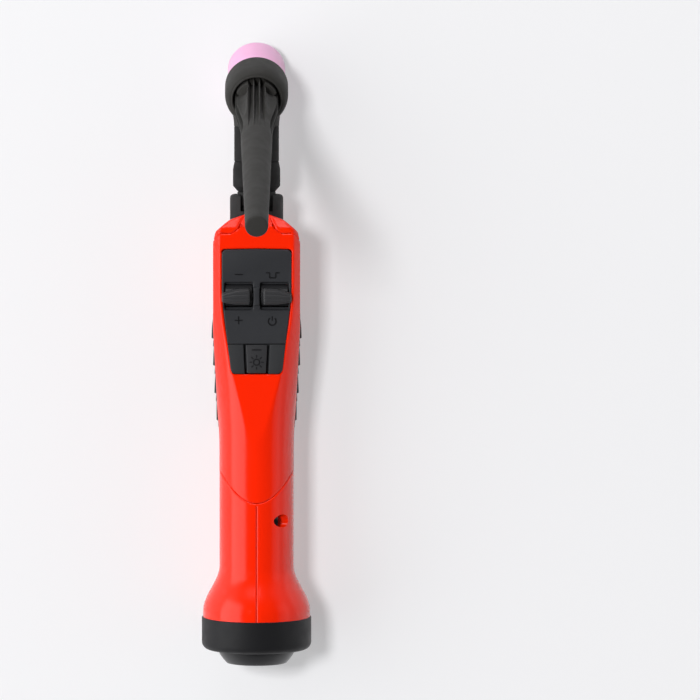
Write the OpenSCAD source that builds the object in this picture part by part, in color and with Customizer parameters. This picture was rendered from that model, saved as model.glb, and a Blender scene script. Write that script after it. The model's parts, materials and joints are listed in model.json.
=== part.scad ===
// TIG welding torch: a seventy degree head with a long back cap on a switch handle.
// Millimetres. +Y runs along the handle towards the head, +X is the right hand side,
// +Z is the switch side, and the origin is the centre of the ball joint at the rear.

/* [Handle] */
// Length from the ball joint's centre to the front edge
handle_len = 168; // [160:1:190]
// Width across the switches
handle_w = 34.6; // [34:0.2:38]
// Room between the neck socket's flange and the top cover
top_room = 0.6; // [0.3:0.1:2]
// Depth of the underside below the axis
under_h = 18.2; // [17:0.2:21]
// Radius of the round waist
waist_r = 14.85; // [14:0.1:16]
// Radius of the shoulders that round the front half's corners
shoulder_r = 20.8; // [20:0.1:23]
// Length of the flare at the rear end
flare_len = 18; // [14:1:26]
// Where the waist starts to swell towards the switches
swell_start = 74; // [60:1:84]
// Length of that swell
swell_len = 66; // [50:1:76]
// How far the front edge slopes down from the flat top
front_drop = 3; // [2:0.2:4]
// Wall thickness of the shells
wall = 2.2; // [1.8:0.1:2.6]
// Gap left along every seam
seam_gap = 0.2; // [0.1:0.05:0.4]
// Height of the seam between the top cover and the side shells
seam_z = 2; // [0:0.5:5]
// Distance of the top cover's rear end from the ball joint
cover_rear = 53.3; // [46:1:60]

/* [Grip] */
// Length of each soft grip
grip_len = 46; // [34:1:52]
// Height of each soft grip
grip_h = 13; // [9:0.5:15]
// How proud the ribs stand at their rear ends
rib_proud = 0.8; // [0.4:0.1:1.2]
// Distance from rib to rib
rib_pitch = 11; // [8:0.5:14]

/* [Switches] */
// Distance of the switch panel from the front edge
panel_set = 13.5; // [12:0.5:20]
// Length of the switch panel and the pad behind it
panel_len = 49.4; // [48:0.2:54]
// Width of the switch panel
panel_w = 27.5; // [26.6:0.1:27.6]
// Width of the pad at its rear end
panel_rear_w = 20.2; // [18:0.2:22]
// How proud the panel stands of the flat top
panel_proud = 0.4; // [0.2:0.1:0.8]
// Thickness of the panel
panel_t = 2.5; // [2:0.1:2.8]
// Length of the pad behind the seam
pad_len = 11.8; // [10:0.2:13]
// Distance of the rockers' shaft from the panel's front edge
rocker_set = 18.5; // [14:0.5:22]
// Length of each rocker's grip bar
bar_len = 11.2; // [10.5:0.1:11.3]
// Width of each rocker's grip bar
bar_w = 5.4; // [4:0.2:6]
// Height of each grip bar above the panel
bar_h = 3.2; // [2.6:0.1:4.5]
// Radius of the rocker's drum
drum_r = 4.4; // [4.4:0.1:5]
// Radius of the rockers' shaft
shaft_r = 1; // [0.8:0.05:1.2]
// Swing of each rocker each way, in degrees
rocker_swing = 10; // [6:1:12]
// Width of the light button at its front
button_w = 8.5; // [7:0.1:9.5]
// Travel of the light button
button_travel = 0.8; // [0.4:0.1:1]

/* [Board] */
// Distance of the circuit board from the panel's front edge
board_set = 8.5; // [6:0.5:9]
// Length of the circuit board
board_len = 42; // [40:0.5:43]
// Width of the circuit board
board_w = 23; // [21:0.5:24]
// Thickness of the circuit board
board_t = 1.2; // [0.8:0.1:1.6]
// Side of each push switch
switch_side = 4.5; // [3.5:0.1:5]
// Height of each push switch
switch_h = 2.2; // [1.8:0.1:2.6]

/* [Ball joint] */
// Radius of the ball
ball_r = 17; // [16:0.1:17.2]
// Radius of the hose's bore
hose_r = 11; // [9:0.1:12]
// Length of the ball behind its centre
ball_back = 12; // [9:0.2:12]
// Length of the ball in front of its centre
ball_front = 5; // [3:0.2:5.4]
// Gap between the ball and its seat
ball_gap = 0.2; // [0.1:0.05:0.3]
// Thickness of the ring that carries the ball
seat_wall = 1.2; // [1:0.1:2]
// Thickness of the shells' spigot round that ring
spigot_wall = 1.5; // [1.2:0.1:2]
// Thickness of the rear collar round the spigot
collar_wall = 1.8; // [1.5:0.1:3]
// How far the collar stands out beyond the flare
collar_step = 0.45; // [0.2:0.05:1]
// Length of the rear collar
collar_len = 13; // [12:0.2:15]

/* [Neck] */
// Distance from the handle's front edge to the head's axis
neck_reach = 49.3; // [46:0.5:80]
// Radius of the neck's sleeve
sleeve_r = 8.9; // [8.6:0.1:9.4]
// How much thicker the neck's collar is than its sleeve
neck_step = 0.5; // [0.3:0.1:1]
// Radius of the plug that fits the socket
plug_r = 7.6; // [7:0.1:8]
// Wall thickness of the socket
socket_wall = 2.95; // [2.5:0.05:3.2]
// Width of the socket's flange beyond its wall
flange_w = 1.3; // [1:0.1:2]
// Length of the socket in front of the handle
socket_out = 7.6; // [6:0.2:9]
// Depth of the socket behind the handle's front edge
socket_in = 10.5; // [10:0.5:14]
// Depth of the plug behind the handle's front edge
plug_in = 8.5; // [7:0.5:9.5]
// Length of the thicker collar on the neck
neck_collar_len = 12; // [10:0.5:16]
// Length of the coupling behind the plug
coupling_len = 11.5; // [10:0.5:14]
// Width of the slots in the socket
slot_w = 12.8; // [10:0.2:13]
// Outer radius of the gas tube
tube_r = 3.2; // [2.8:0.1:3.4]
// Bore radius of the gas tube
tube_bore_r = 2.2; // [1.5:0.1:2.4]

/* [Head] */
// Angle between the neck and the nozzle, in degrees
head_angle = 70; // [65:1:75]
// How far the head's rim stands out beyond the nozzle
rim_w = 0.95; // [0.8:0.05:2]
// Length of the head's insulation
head_len = 14.4; // [14.2:0.1:18]
// Length of its rounded shoulder
head_shoulder = 5.7; // [4.5:0.1:6]
// Radius of the brass body
body_r = 7; // [6.8:0.05:7.2]
// Outer radius of the gas nozzle
nozzle_r = 11.6; // [11.2:0.1:12]
// Length of the nozzle below the head
nozzle_out = 18.2; // [16:0.2:30]
// Wall thickness of the nozzle at its mouth
nozzle_wall = 1.8; // [1.2:0.1:2]
// Radius of the tungsten electrode
electrode_r = 1.2; // [0.8:0.1:1.2]
// How far the electrode stands out of the nozzle
stick_out = 5; // [2:0.5:8]

/* [Back cap] */
// Length of the cap above the head
cap_len = 125.5; // [124:0.5:150]
// Free length above the electrode in the cap
cap_room = 11.6; // [9:0.2:20]
// Radius of the cap's fluted root
cap_root_r = 8.6; // [8.2:0.05:8.7]
// Radius of the stem where the flutes end
stem_r = 6.4; // [6:0.1:7]
// Radius of the cap's end
cap_end_r = 4.4; // [4.1:0.05:5]
// Length of the straight part of the root
cap_root_len = 13; // [11:0.5:16]
// Depth of the fine grooves on the root
groove_depth = 0.8; // [0.4:0.1:0.9]

/* [Fits] */
// Radial gap of a turning or sliding fit
run_gap = 0.05; // [0.02:0.01:0.08]
// Gap between pieces that lie against each other
lie_gap = 0.1; // [0.05:0.05:0.2]

/* [Hidden] */
$fn = 64;
far = 60;

// Round the ball, from the inside out
seat_out_r = ball_r + ball_gap + seat_wall;
spigot_r = seat_out_r + lie_gap + spigot_wall;
collar_r = spigot_r + lie_gap + collar_wall;
bell_r = collar_r - collar_step;
inner_rib_r = ball_r - 0.9;

// Round the neck, from the inside out
socket_r = plug_r + run_gap + socket_wall;
flange_r = socket_r + flange_w;
top_h = flange_r + top_room + wall;
neck_collar_r = sleeve_r + neck_step;
head_r = nozzle_r + rim_w;

// Where things lie along the handle
collar_front = 6.5;
shell_rear = collar_front + lie_gap;
flare_start = shell_rear + 2.4;
taper_start = swell_start + 6;
taper_end = swell_start + 48;
flat_start = swell_start + 10;
grip_front = swell_start + 54;
bevel_len = 5;
front_wall = wall + 0.4;
inside_front = handle_len - front_wall;
socket_room = inside_front - 4;

// Screws that clamp the two side shells, as places along the handle and above its axis
screw_y = 46;
screw_z = 10.6;
low_screw_y = handle_len - 30;
low_screw_z = -under_h + 6.4;
screw_spots = [[screw_y, screw_z], [screw_y, -screw_z], [low_screw_y, low_screw_z]];
screw_r = 1.45;
screw_head_r = 2.5;
screw_head_h = 2;
screw_end = -7;
screw_seat = 6.4;
boss_out_r = 3.6;

// Work light under the neck
light_z = -socket_r - 2.6;
light_r = 1.5;
light_flange_r = light_r + 0.4;

// Heights in the switch stack
panel_top = top_h + panel_proud;
panel_base = panel_top - panel_t;
panel_front = handle_len - panel_set;
panel_rear = panel_front - panel_len;
pad_seam = panel_rear + pad_len;
rocker_y = panel_front - rocker_set;
rocker_z = panel_top - drum_r - 0.3;
rocker_in = 1.7;
window_in = rocker_in - 0.3;
window_out = panel_w / 2 - 0.95;
rocker_out = window_out - 0.3;
window_half = drum_r + 1.1;
bar_in = 2.6;
bar_under = panel_top + 0.9;
bar_top = panel_top + bar_h;
rocker_under = rocker_z - shaft_r - 0.6;
arm_reach = drum_r - 0.8;
plunger_gap = 0.3;
plunger_top = rocker_under - arm_reach * sin(rocker_swing) - plunger_gap;
board_top = plunger_top - switch_h;
board_base = board_top - board_t;
board_front = panel_front - board_set;
board_rear = board_front - board_len;
boss_x = board_w / 2 - 2.2;
boss_r = 2;
boss_front = board_front - 2.2;
boss_rear = pad_seam + 6.5;
web_t = 1;
pad_base = panel_base - 1.2;
button_y = panel_rear + pad_len / 2 + 0.1;
button_under = pad_base + web_t + button_travel + 0.2;
stem_hole_r = 1.9;
channel_gap = 1;
post_half_w = 1.15;
post_half_len = 3.4;
post_proud = 1.9;
bearing_t = 0.8;
bearing_w = 5.2;
bearing_drop = 3.2;
board_screw_grip = 4;
ledge_t = 1.4;
under_switch = 5.2;
header_w = 10;
header_len = 6;
header_h = 4.6;
switch_spots = [
    for (x = [-under_switch, under_switch], reach = [-arm_reach, arm_reach]) [x, rocker_y + reach],
    [0, button_y]
];

// Along the neck, from the handle's front edge
head_y = handle_len + neck_reach;
lean = 90 - head_angle;
socket_front = handle_len + socket_out;
plug_front = socket_front + 1.2;
plug_rear = handle_len - plug_in;
collar_end = plug_front + 2.2;
sleeve_rear = plug_front + neck_collar_len;
flange_rear = handle_len - socket_in;
flange_t = 2.5;
rib_t = 2;
ring_groove_y = plug_rear + 3.4;
ring_wire_r = 0.75;
nut_t = 2.6;
coupling_r = tube_r + 1.7;
tube_seat = 6.5;

// Along the head's axis, from where the neck's axis meets it. The nozzle's seat lies just
// below the gas tube, where the tube passes the gasket
gasket_t = 1.4;
gasket_bore_r = body_r + 0.15;
nozzle_seat = gasket_bore_r * tan(lean) - tube_r / cos(lean) - 0.1;
rim_low = nozzle_seat - 2.7;
rim_high = rim_low + head_len;
sleeve_front = head_y - head_r * cos(lean) - (rim_high - head_shoulder / 2) * sin(lean);
body_top = 6;
body_low = nozzle_seat - 3.9;
cap_seat = body_top + 0.1;
mouth = rim_low - nozzle_out;
cap_end = rim_high + cap_len;
cap_end_wall = 3;
tip = mouth - stick_out;
tip_len = 5;
electrode_top = cap_end - cap_room;
flange_low = rim_low - 5.2;
cup_low = flange_low - 7.8;
cup_wall = 0.8;
cap_thread_r = 5;
lens_r = nozzle_r - 3;
thread_r = nozzle_r - 2.6;
collet_seat_r = cap_thread_r - 0.5;
collet_low = rim_low - 9;
collet_r = electrode_r + 1.3;

function ease(t) = let (u = min(1, max(0, t))) u * u * (3 - 2 * u);
function blend(a, b, t) = a + (b - a) * t;
function share(y, from, to) = (y - from) / (to - from);

// Radius that rounds the handle's section at each point along it
function round_at(y) =
    y < (flare_start + flare_len + swell_start) / 2
    ? blend(bell_r, waist_r, ease(share(y, flare_start, flare_start + flare_len)))
    : blend(waist_r, shoulder_r, ease(share(y, swell_start, swell_start + swell_len)));

// Points on an arc about c, for outlines with rounded corners
function arc(c, r, from, to, steps = 6) =
    [for (i = [0 : steps]) let (a = blend(from, to, i / steps)) c + r * [cos(a), sin(a)]];

// Mirrors half an outline, given from front to rear at +X, into a whole one
function both_sides(half) =
    concat(half, [for (i = [len(half) - 1 : -1 : 0]) [-half[i][0], half[i][1]]]);

// Lays a profile of distance from the axis and height along it onto the handle's axis
module turned(profile) {
    rotate([-90, 0, 0]) rotate_extrude() polygon(profile);
}

module rod(r, from, to) {
    translate([0, from, 0]) rotate([-90, 0, 0]) cylinder(r = r, h = to - from);
}

module cross_rod(r, from, to) {
    translate([from, 0, 0]) rotate([0, 90, 0]) cylinder(r = r, h = to - from);
}

module block(low, high) {
    translate(low) cube(high - low);
}

// The head's own frame: z runs up the back cap, and the nozzle points down
module at_head() {
    translate([0, head_y, 0]) rotate([lean, 0, 0]) children();
}

// ---- Handle ----

module handle_round(inset) {
    swell_steps = 8;
    flare_steps = 8;
    front = handle_len + 2;
    rear = inset > 0 ? shell_rear - 1 : shell_rear;
    flare = [for (i = [0 : flare_steps]) flare_start + flare_len * i / flare_steps];
    swell = [for (i = [0 : swell_steps]) swell_start + swell_len * i / swell_steps];
    turned(concat(
        [[0, rear], [bell_r - inset, rear]],
        [for (y = flare) [round_at(y) - inset, y]],
        [for (y = swell) [round_at(y) - inset, y]],
        [[shoulder_r - inset, front], [0, front]]
    ));
}

module handle_plan(inset) {
    front = handle_len - (inset > 0 ? front_wall : 0);
    half_w = handle_w / 2 - inset;
    waist_w = waist_r + 0.2 - inset;
    half = [
        [5.6 - inset / 3, front],
        [10.9 - inset / 2, front - 1.9],
        [handle_w / 2 - 2.6 - inset, front - 5.2],
        [half_w - 1, front - 6.6],
        [half_w - 0.2, front - 9],
        [half_w, front - 13],
        [half_w, taper_end],
        [waist_w, taper_start],
        [waist_w + 1, taper_start - 18],
        [bell_r + 4, flare_start + flare_len],
        [bell_r + 4, shell_rear - 2]
    ];
    translate([0, 0, -far / 2]) linear_extrude(far) polygon(both_sides(half));
}

module handle_side(inset) {
    top = top_h - inset;
    under = under_h - inset;
    front = handle_len - (inset > 0 ? front_wall : 0);
    rotate([90, 0, 90]) translate([0, 0, -far / 2]) linear_extrude(far) polygon([
        [shell_rear - 2, bell_r + 4],
        [flare_start + flare_len, bell_r + 4],
        [swell_start - 14, waist_r + 1 - inset],
        [flat_start, top],
        [handle_len - bevel_len - inset / 3, top],
        [front, top - front_drop],
        [front, -under + 2.6],
        [front - 12, -under + 0.8],
        [front - 36, -under],
        [taper_end - 8, -under],
        [taper_start, -waist_r - 0.8 + inset],
        [swell_start - 20, -waist_r - 2 + inset],
        [flare_start + flare_len, -bell_r - 4],
        [shell_rear - 2, -bell_r - 4]
    ]);
}

module handle_form(inset = 0) {
    intersection() {
        handle_round(inset);
        handle_plan(inset);
        handle_side(inset);
    }
}

// Plan outline of the top cover: a tongue at the front, shoulders, and a round rear end
module cover_region(gap) {
    reach = waist_r + 1.2;
    depth = 14.5;
    edge = handle_w / 2 + 6;
    curve = [for (i = [6 : -1 : 0]) let (x = reach * i / 6)
        [x - gap * i / 6, cover_rear + gap + depth * pow(x / reach, 2)]];
    half = concat([
        [5.2 - gap, handle_len + 5],
        [5.2 - gap, handle_len],
        [7.7 - gap, handle_len - 4.2 - gap],
        [8.7 - gap, handle_len - 5.6 - gap],
        [10.6 - gap, handle_len - 6.6 - gap],
        [handle_w / 2 - 3.2 - gap, handle_len - 6.6 - gap],
        [handle_w / 2 - 1.4 - gap, handle_len - 7.8 - gap],
        [handle_w / 2 - 0.4, handle_len - 9.8 - gap],
        [edge, handle_len - 14 - gap],
        [edge, cover_rear + depth + 6]
    ], curve);
    translate([0, 0, seam_z + gap]) linear_extrude(far) polygon(both_sides(half));
}

module rib_ring(from, r) {
    difference() {
        intersection() {
            handle_form(wall / 2);
            block([-far, from, -far], [far, from + rib_t, far]);
        }
        rod(r, from - 1, from + rib_t + 1);
    }
}

module shell_wall() {
    difference() {
        union() {
            difference() {
                handle_form();
                handle_form(wall);
            }
            rib_ring(flange_rear + flange_t + lie_gap, socket_r + lie_gap);
            rib_ring(flange_rear - rib_t - lie_gap, socket_r + lie_gap);
            turned([
                [inner_rib_r, shell_rear], [bell_r - wall / 2, shell_rear],
                [bell_r - wall / 2, shell_rear + 1.8], [inner_rib_r, shell_rear + 1.8]
            ]);
            turned([
                [seat_out_r + lie_gap, 0], [spigot_r, 0],
                [spigot_r, shell_rear + 1], [seat_out_r + lie_gap, shell_rear + 1]
            ]);
        }
        rod(socket_r + lie_gap, socket_room, handle_len + 5);
        translate([0, 0, light_z]) {
            rod(light_r + lie_gap, socket_room, handle_len + 5);
            rod(light_flange_r + lie_gap, socket_room - 5, inside_front - 2);
        }
    }
}

module screw_boss(spot, from, to) {
    intersection() {
        translate([0, spot[0], spot[1]]) cross_rod(boss_out_r, from, to);
        handle_form(wall / 2);
    }
}

module grip_pocket(side, shrink) {
    low = seam_z - 2.5 - grip_h;
    translate([side > 0 ? 0 : -far, grip_front - grip_len + shrink, low + shrink])
        cube([far, grip_len - 2 * shrink, grip_h - 2 * shrink]);
}

module side_shell(side) {
    difference() {
        union() {
            intersection() {
                shell_wall();
                block([side > 0 ? seam_gap / 2 : -far, -1, -far],
                      [side > 0 ? far : -seam_gap / 2, handle_len + 5, far]);
            }
            for (spot = screw_spots)
                screw_boss(spot, side > 0 ? seam_gap / 2 : -far / 2, side > 0 ? far / 2 : -seam_gap / 2);
        }
        cover_region(0);
        difference() {
            intersection() {
                handle_plan(-5);
                grip_pocket(side, 0);
            }
            handle_form(wall / 2);
        }
        for (spot = screw_spots)
            translate([0, spot[0], spot[1]]) {
                cross_rod(screw_r + run_gap, screw_end - 1, screw_seat + 1);
                cross_rod(screw_head_r + lie_gap, screw_seat, far);
            }
    }
}

module shell_left() {
    color("#fb2702") side_shell(-1);
}

module shell_right() {
    color("#fb2702") side_shell(1);
}

module panel_outline(grow) {
    w_front = panel_w / 2 + grow;
    w_rear = panel_rear_w / 2 + grow;
    front = panel_front + grow;
    rear = panel_rear - grow;
    straight = panel_front - 18;
    front_r = 1.8;
    rear_r = 2;
    half = concat(
        [[0, front + 0.2]],
        arc([w_front - front_r, front - front_r - 0.1], front_r, 80, 0, 4),
        [[w_front, straight], [w_front - 0.5, straight - 5]],
        arc([w_rear - rear_r, rear + rear_r], rear_r, 0, -90, 4)
    );
    polygon(both_sides(half));
}

module top_cover() {
    wall_under = top_h - wall;
    front_reach = panel_front + 1.6;
    color("#fb2702") union() {
        difference() {
            intersection() {
                shell_wall();
                cover_region(seam_gap);
            }
            translate([0, 0, wall_under - 2]) linear_extrude(far) panel_outline(seam_gap);
        }
        block([-9, panel_front - 2.5, panel_base - ledge_t - lie_gap],
              [9, front_reach, panel_base - lie_gap]);
        block([-9, panel_front + seam_gap + 0.4, panel_base - ledge_t - lie_gap],
              [9, front_reach, wall_under + 0.3]);
        block([-6, panel_rear - 2, pad_base - ledge_t - lie_gap],
              [6, panel_rear + 2, pad_base - lie_gap]);
        block([-6, panel_rear - 2, pad_base - ledge_t - lie_gap],
              [6, panel_rear - seam_gap - 0.1, wall_under + 0.3]);
    }
}

// Soft grip: an inlay in each side shell's pocket, with ribs that rise towards the rear
module soft_grip(side) {
    minor = rib_proud / 2;
    last = grip_front - grip_len + 1;
    color("#2a2b2c") union() {
        difference() {
            intersection() {
                handle_form();
                grip_pocket(side, lie_gap);
            }
            handle_form(wall / 2 - lie_gap / 2);
        }
        intersection() {
            difference() {
                union() {
                    for (y = [grip_front - rib_pitch + 1 : -rib_pitch : last]) {
                        grip_rib(side, y, rib_pitch * 0.7, rib_proud);
                        if (y - rib_pitch * 0.3 > last)
                            grip_rib(side, y - rib_pitch * 0.3, rib_pitch * 0.25, minor);
                    }
                }
                handle_form(wall / 4);
            }
            grip_pocket(side, 1.2);
            handle_form(-rib_proud);
        }
    }
}

// One rib: a long wedge in plan, from flush at its front to proud at its rear
module grip_rib(side, rear, length, proud) {
    at_rear = plan_half(rear);
    at_front = plan_half(rear + length);
    points = [
        [side * (at_rear - wall), rear],
        [side * (at_rear + proud), rear],
        [side * (at_rear + proud * 0.9), rear + length * 0.15],
        [side * (at_front - 0.1), rear + length],
        [side * (at_front - wall), rear + length]
    ];
    translate([0, 0, seam_z - 2.5 - grip_h]) linear_extrude(grip_h) polygon(points);
}

function plan_half(y) =
    let (t = min(1, max(0, share(y, taper_start, taper_end))))
    blend(waist_r + 0.2, handle_w / 2, t);

module grip_left() {
    soft_grip(-1);
}

module grip_right() {
    soft_grip(1);
}

module shell_screws() {
    color("#3a3a3c") for (spot = screw_spots)
        translate([0, spot[0], spot[1]]) difference() {
            union() {
                cross_rod(screw_r, screw_end, screw_seat + lie_gap + 0.5);
                cross_rod(screw_head_r, screw_seat + lie_gap, screw_seat + lie_gap + screw_head_h);
            }
            translate([screw_seat + lie_gap + screw_head_h / 2, 0, 0]) rotate([0, 90, 0])
                cylinder(r = 1.3, h = 3, $fn = 6);
        }
}

// ---- Rear end ----

module rear_collar() {
    lip_front = -lie_gap;
    back = collar_front - collar_len;
    outer = concat(
        [[collar_r, collar_front - 0.3]],
        arc([collar_r - 3.2, back + 3.2], 3.2, 0, -90, 6)
    );
    color("#2b2b2d") difference() {
        turned(concat(
            [[ball_r - 3, back + 0.1], [ball_r - 3, lip_front], [spigot_r + lie_gap, lip_front],
             [spigot_r + lie_gap, collar_front], [collar_r - 0.3, collar_front]],
            outer
        ));
        sphere(ball_r + ball_gap);
    }
}

module ball_seat_ring() {
    color("#4a4a4c") difference() {
        rod(seat_out_r, 0.2, shell_rear - 2 * lie_gap);
        sphere(ball_r + ball_gap);
    }
}

module hose_ball() {
    color("#272729") rotate([-90, 0, 0]) rotate_extrude() intersection() {
        circle(ball_r);
        translate([hose_r, -ball_back]) square([ball_r, ball_back + ball_front]);
    }
}

// ---- Neck ----

module neck_socket() {
    color("#2c2c2c") difference() {
        union() {
            rod(socket_r, flange_rear + 0.5, socket_front - 1.6);
            turned([
                [plug_r, socket_front - 1.7], [socket_r, socket_front - 1.7],
                [socket_r - 0.5, socket_front - 0.5], [socket_r - 1.7, socket_front],
                [plug_r, socket_front]
            ]);
            rod(flange_r, flange_rear, flange_rear + flange_t);
        }
        rod(plug_r + run_gap, flange_rear - 1, socket_front + 1);
        block([-slot_w / 2, handle_len + 1.2, -far], [slot_w / 2, socket_front + 1, far]);
    }
}

module neck_plug() {
    key_w = slot_w - 0.5;
    color("#303030") difference() {
        union() {
            rod(plug_r, plug_rear, plug_front);
            intersection() {
                rod(socket_r - 1.6, socket_front - 4.2, plug_front);
                block([-key_w / 2, socket_front - 4.2, -far], [key_w / 2, plug_front, far]);
            }
        }
        rod(tube_r + run_gap, plug_rear - 1, plug_front + 1);
        plug_ring(ring_wire_r + run_gap);
        rod_ring(plug_r - ring_wire_r, plug_r + 1, ring_groove_y, ring_wire_r + run_gap);
    }
}

// A ring of round wire in the plug's groove
module plug_ring(wire_r) {
    translate([0, ring_groove_y, 0]) rotate([-90, 0, 0]) rotate_extrude()
        translate([plug_r - ring_wire_r, 0]) circle(r = wire_r, $fn = 24);
}

module rod_ring(inner_r, outer_r, y, half_h) {
    turned([[inner_r, y - half_h], [outer_r, y - half_h], [outer_r, y + half_h], [inner_r, y + half_h]]);
}

module plug_o_ring() {
    color("#1c1c1c") plug_ring(ring_wire_r);
}

module neck_collar() {
    color("#262626") difference() {
        turned([
            [0, plug_front + lie_gap], [plug_r, plug_front + lie_gap], [neck_collar_r, collar_end],
            [neck_collar_r, sleeve_rear - 3.2], [neck_collar_r - 0.3, sleeve_rear - 2.4],
            [sleeve_r - 0.15, sleeve_rear - lie_gap], [0, sleeve_rear - lie_gap]
        ]);
        rod(tube_r + run_gap, plug_front - 1, sleeve_rear + 1);
    }
}

module neck_sleeve() {
    color("#262626") difference() {
        rod(sleeve_r, sleeve_rear, sleeve_front - lie_gap);
        rod(tube_r + run_gap, sleeve_rear - 1, sleeve_front + 1);
    }
}

module gas_tube() {
    color("#b5793f") difference() {
        rod(tube_r, plug_rear - tube_seat, head_y - body_r + 1.4);
        rod(tube_bore_r, plug_rear - tube_seat - 1, head_y);
        at_head() translate([0, 0, -far / 2]) cylinder(r = cap_thread_r + 0.2, h = far);
    }
}

module coupling_body() {
    rear = plug_rear - coupling_len;
    color("#c8a24a") difference() {
        union() {
            rod(plug_r - 0.1, plug_rear - 2.2, plug_rear - lie_gap);
            rod(coupling_r, rear, plug_rear - 2);
        }
        rod(tube_r + 0.02, plug_rear - tube_seat - lie_gap, plug_rear + 1);
        rod(tube_bore_r, rear - 1, plug_rear);
    }
}

module coupling_nut() {
    color("#b8923c") difference() {
        translate([0, plug_rear - 5, 0]) rotate([-90, 0, 0]) cylinder(r = plug_r - 0.1, h = nut_t, $fn = 6);
        rod(coupling_r + run_gap, plug_rear - 6, plug_rear);
    }
}

// ---- Head ----

module head_insulation() {
    socket_low = nozzle_r - 1;
    root_bore_r = cap_root_r + 0.8;
    rim_r = root_bore_r + 0.6;
    shoulder = [for (i = [0 : 5]) let (a = 90 * i / 5)
        [blend(head_r, rim_r + 0.4, 1 - cos(a)), rim_high - head_shoulder + (head_shoulder - 0.4) * sin(a)]];
    color("#42413f") difference() {
        union() {
            at_head() rotate_extrude() polygon(concat(
                [[0, rim_low], [head_r - 0.5, rim_low], [head_r, rim_low + 0.5]],
                shoulder, [[rim_r, rim_high], [0, rim_high]]
            ));
            difference() {
                rod(neck_collar_r, sleeve_front, head_y - 4);
                at_head() translate([0, 0, rim_low - far]) cylinder(r = head_r + 3, h = far + 0.6);
            }
        }
        at_head() {
            translate([0, 0, rim_low - 1]) cylinder(r = socket_low + lie_gap, h = nozzle_seat - rim_low + 1);
            translate([0, 0, body_low - 1]) cylinder(r = body_r + run_gap, h = body_top - body_low + 1.05);
            translate([0, 0, body_top]) cylinder(r = root_bore_r, h = head_len * 2);
        }
        rod(tube_r + run_gap, sleeve_front - 1, head_y);
    }
}

module head_body() {
    color("#c8a24a") difference() {
        at_head() difference() {
            translate([0, 0, body_low]) cylinder(r = body_r, h = body_top - body_low);
            translate([0, 0, body_low - 1]) cylinder(r = collet_seat_r, h = 8);
            translate([0, 0, 2.1]) cylinder(r = cap_thread_r, h = head_len);
        }
        rod(tube_r + 0.02, head_y - body_r - 3, head_y - body_r + 1.5);
        rod(tube_bore_r, head_y - body_r, head_y);
    }
}

module collet_body() {
    cup_top = flange_low - 1.5;
    color("#b87333") at_head() difference() {
        union() {
            translate([0, 0, body_low - 1]) cylinder(r = collet_seat_r - run_gap, h = body_r - 0.6);
            translate([0, 0, flange_low]) cylinder(r = thread_r, h = body_low - lie_gap - flange_low);
            translate([0, 0, cup_low]) cylinder(r = lens_r, h = flange_low - cup_low + 0.1);
        }
        translate([0, 0, cup_low - 1]) difference() {
            cylinder(r = lens_r - cup_wall, h = cup_top - cup_low + 1);
            translate([0, 0, 5]) cylinder(r = 3.6, h = 20);
        }
        translate([0, 0, collet_low - lie_gap]) cylinder(r = collet_r + lie_gap, h = 30);
        translate([0, 0, cup_low - 2]) cylinder(r = electrode_r + 0.3, h = 20);
    }
}

module gas_lens_screens() {
    color("#b9bcc0") at_head() for (step = [0 : 2])
        translate([0, 0, cup_low + 0.4 + 1.1 * step]) difference() {
            cylinder(r = lens_r - cup_wall - run_gap, h = 0.6);
            translate([0, 0, -1]) cylinder(r = electrode_r + 0.3, h = 3);
        }
}

module collet() {
    slot = 0.5;
    top = body_top - 3.6;
    color("#c98a4b") at_head() difference() {
        translate([0, 0, collet_low]) cylinder(r = collet_r, h = top - collet_low);
        translate([0, 0, collet_low - 1]) cylinder(r = electrode_r + run_gap, h = top - collet_low + 2);
        translate([-5, -slot / 2, collet_low - 1]) cube([10, slot, 9]);
        translate([-slot / 2, -5, collet_low - 1]) cube([slot, 10, 9]);
    }
}

module tungsten_electrode() {
    color("#9a9ca0") at_head() {
        translate([0, 0, tip]) cylinder(r1 = 0.15, r2 = electrode_r, h = tip_len);
        translate([0, 0, tip + tip_len]) cylinder(r = electrode_r, h = electrode_top - tip - tip_len);
    }
}

module nozzle_gasket() {
    color("#e9e6df") at_head() translate([0, 0, nozzle_seat - lie_gap - gasket_t]) difference() {
        cylinder(r = nozzle_r - 1, h = gasket_t);
        translate([0, 0, -1]) cylinder(r = gasket_bore_r, h = gasket_t + 2);
    }
}

module gas_nozzle() {
    top = nozzle_seat - gasket_t - 2 * lie_gap;
    step = rim_low - 0.2;
    bore = nozzle_r - nozzle_wall;
    color("#fbcaf7") at_head() rotate_extrude() polygon([
        [thread_r + run_gap, top], [nozzle_r - 1, top], [nozzle_r - 1, step],
        [nozzle_r, step], [nozzle_r, mouth + 0.4], [nozzle_r - 0.4, mouth],
        [bore + 0.3, mouth], [bore, mouth + 0.3], [bore, rim_low - 7], [thread_r + run_gap, rim_low - 7.8]
    ]);
}

// ---- Back cap ----

module cap_o_ring() {
    color("#1c1c1c") at_head() translate([0, 0, body_top + 0.85]) rotate_extrude()
        translate([cap_thread_r + 1.1, 0]) circle(r = 0.8, $fn = 24);
}

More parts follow.
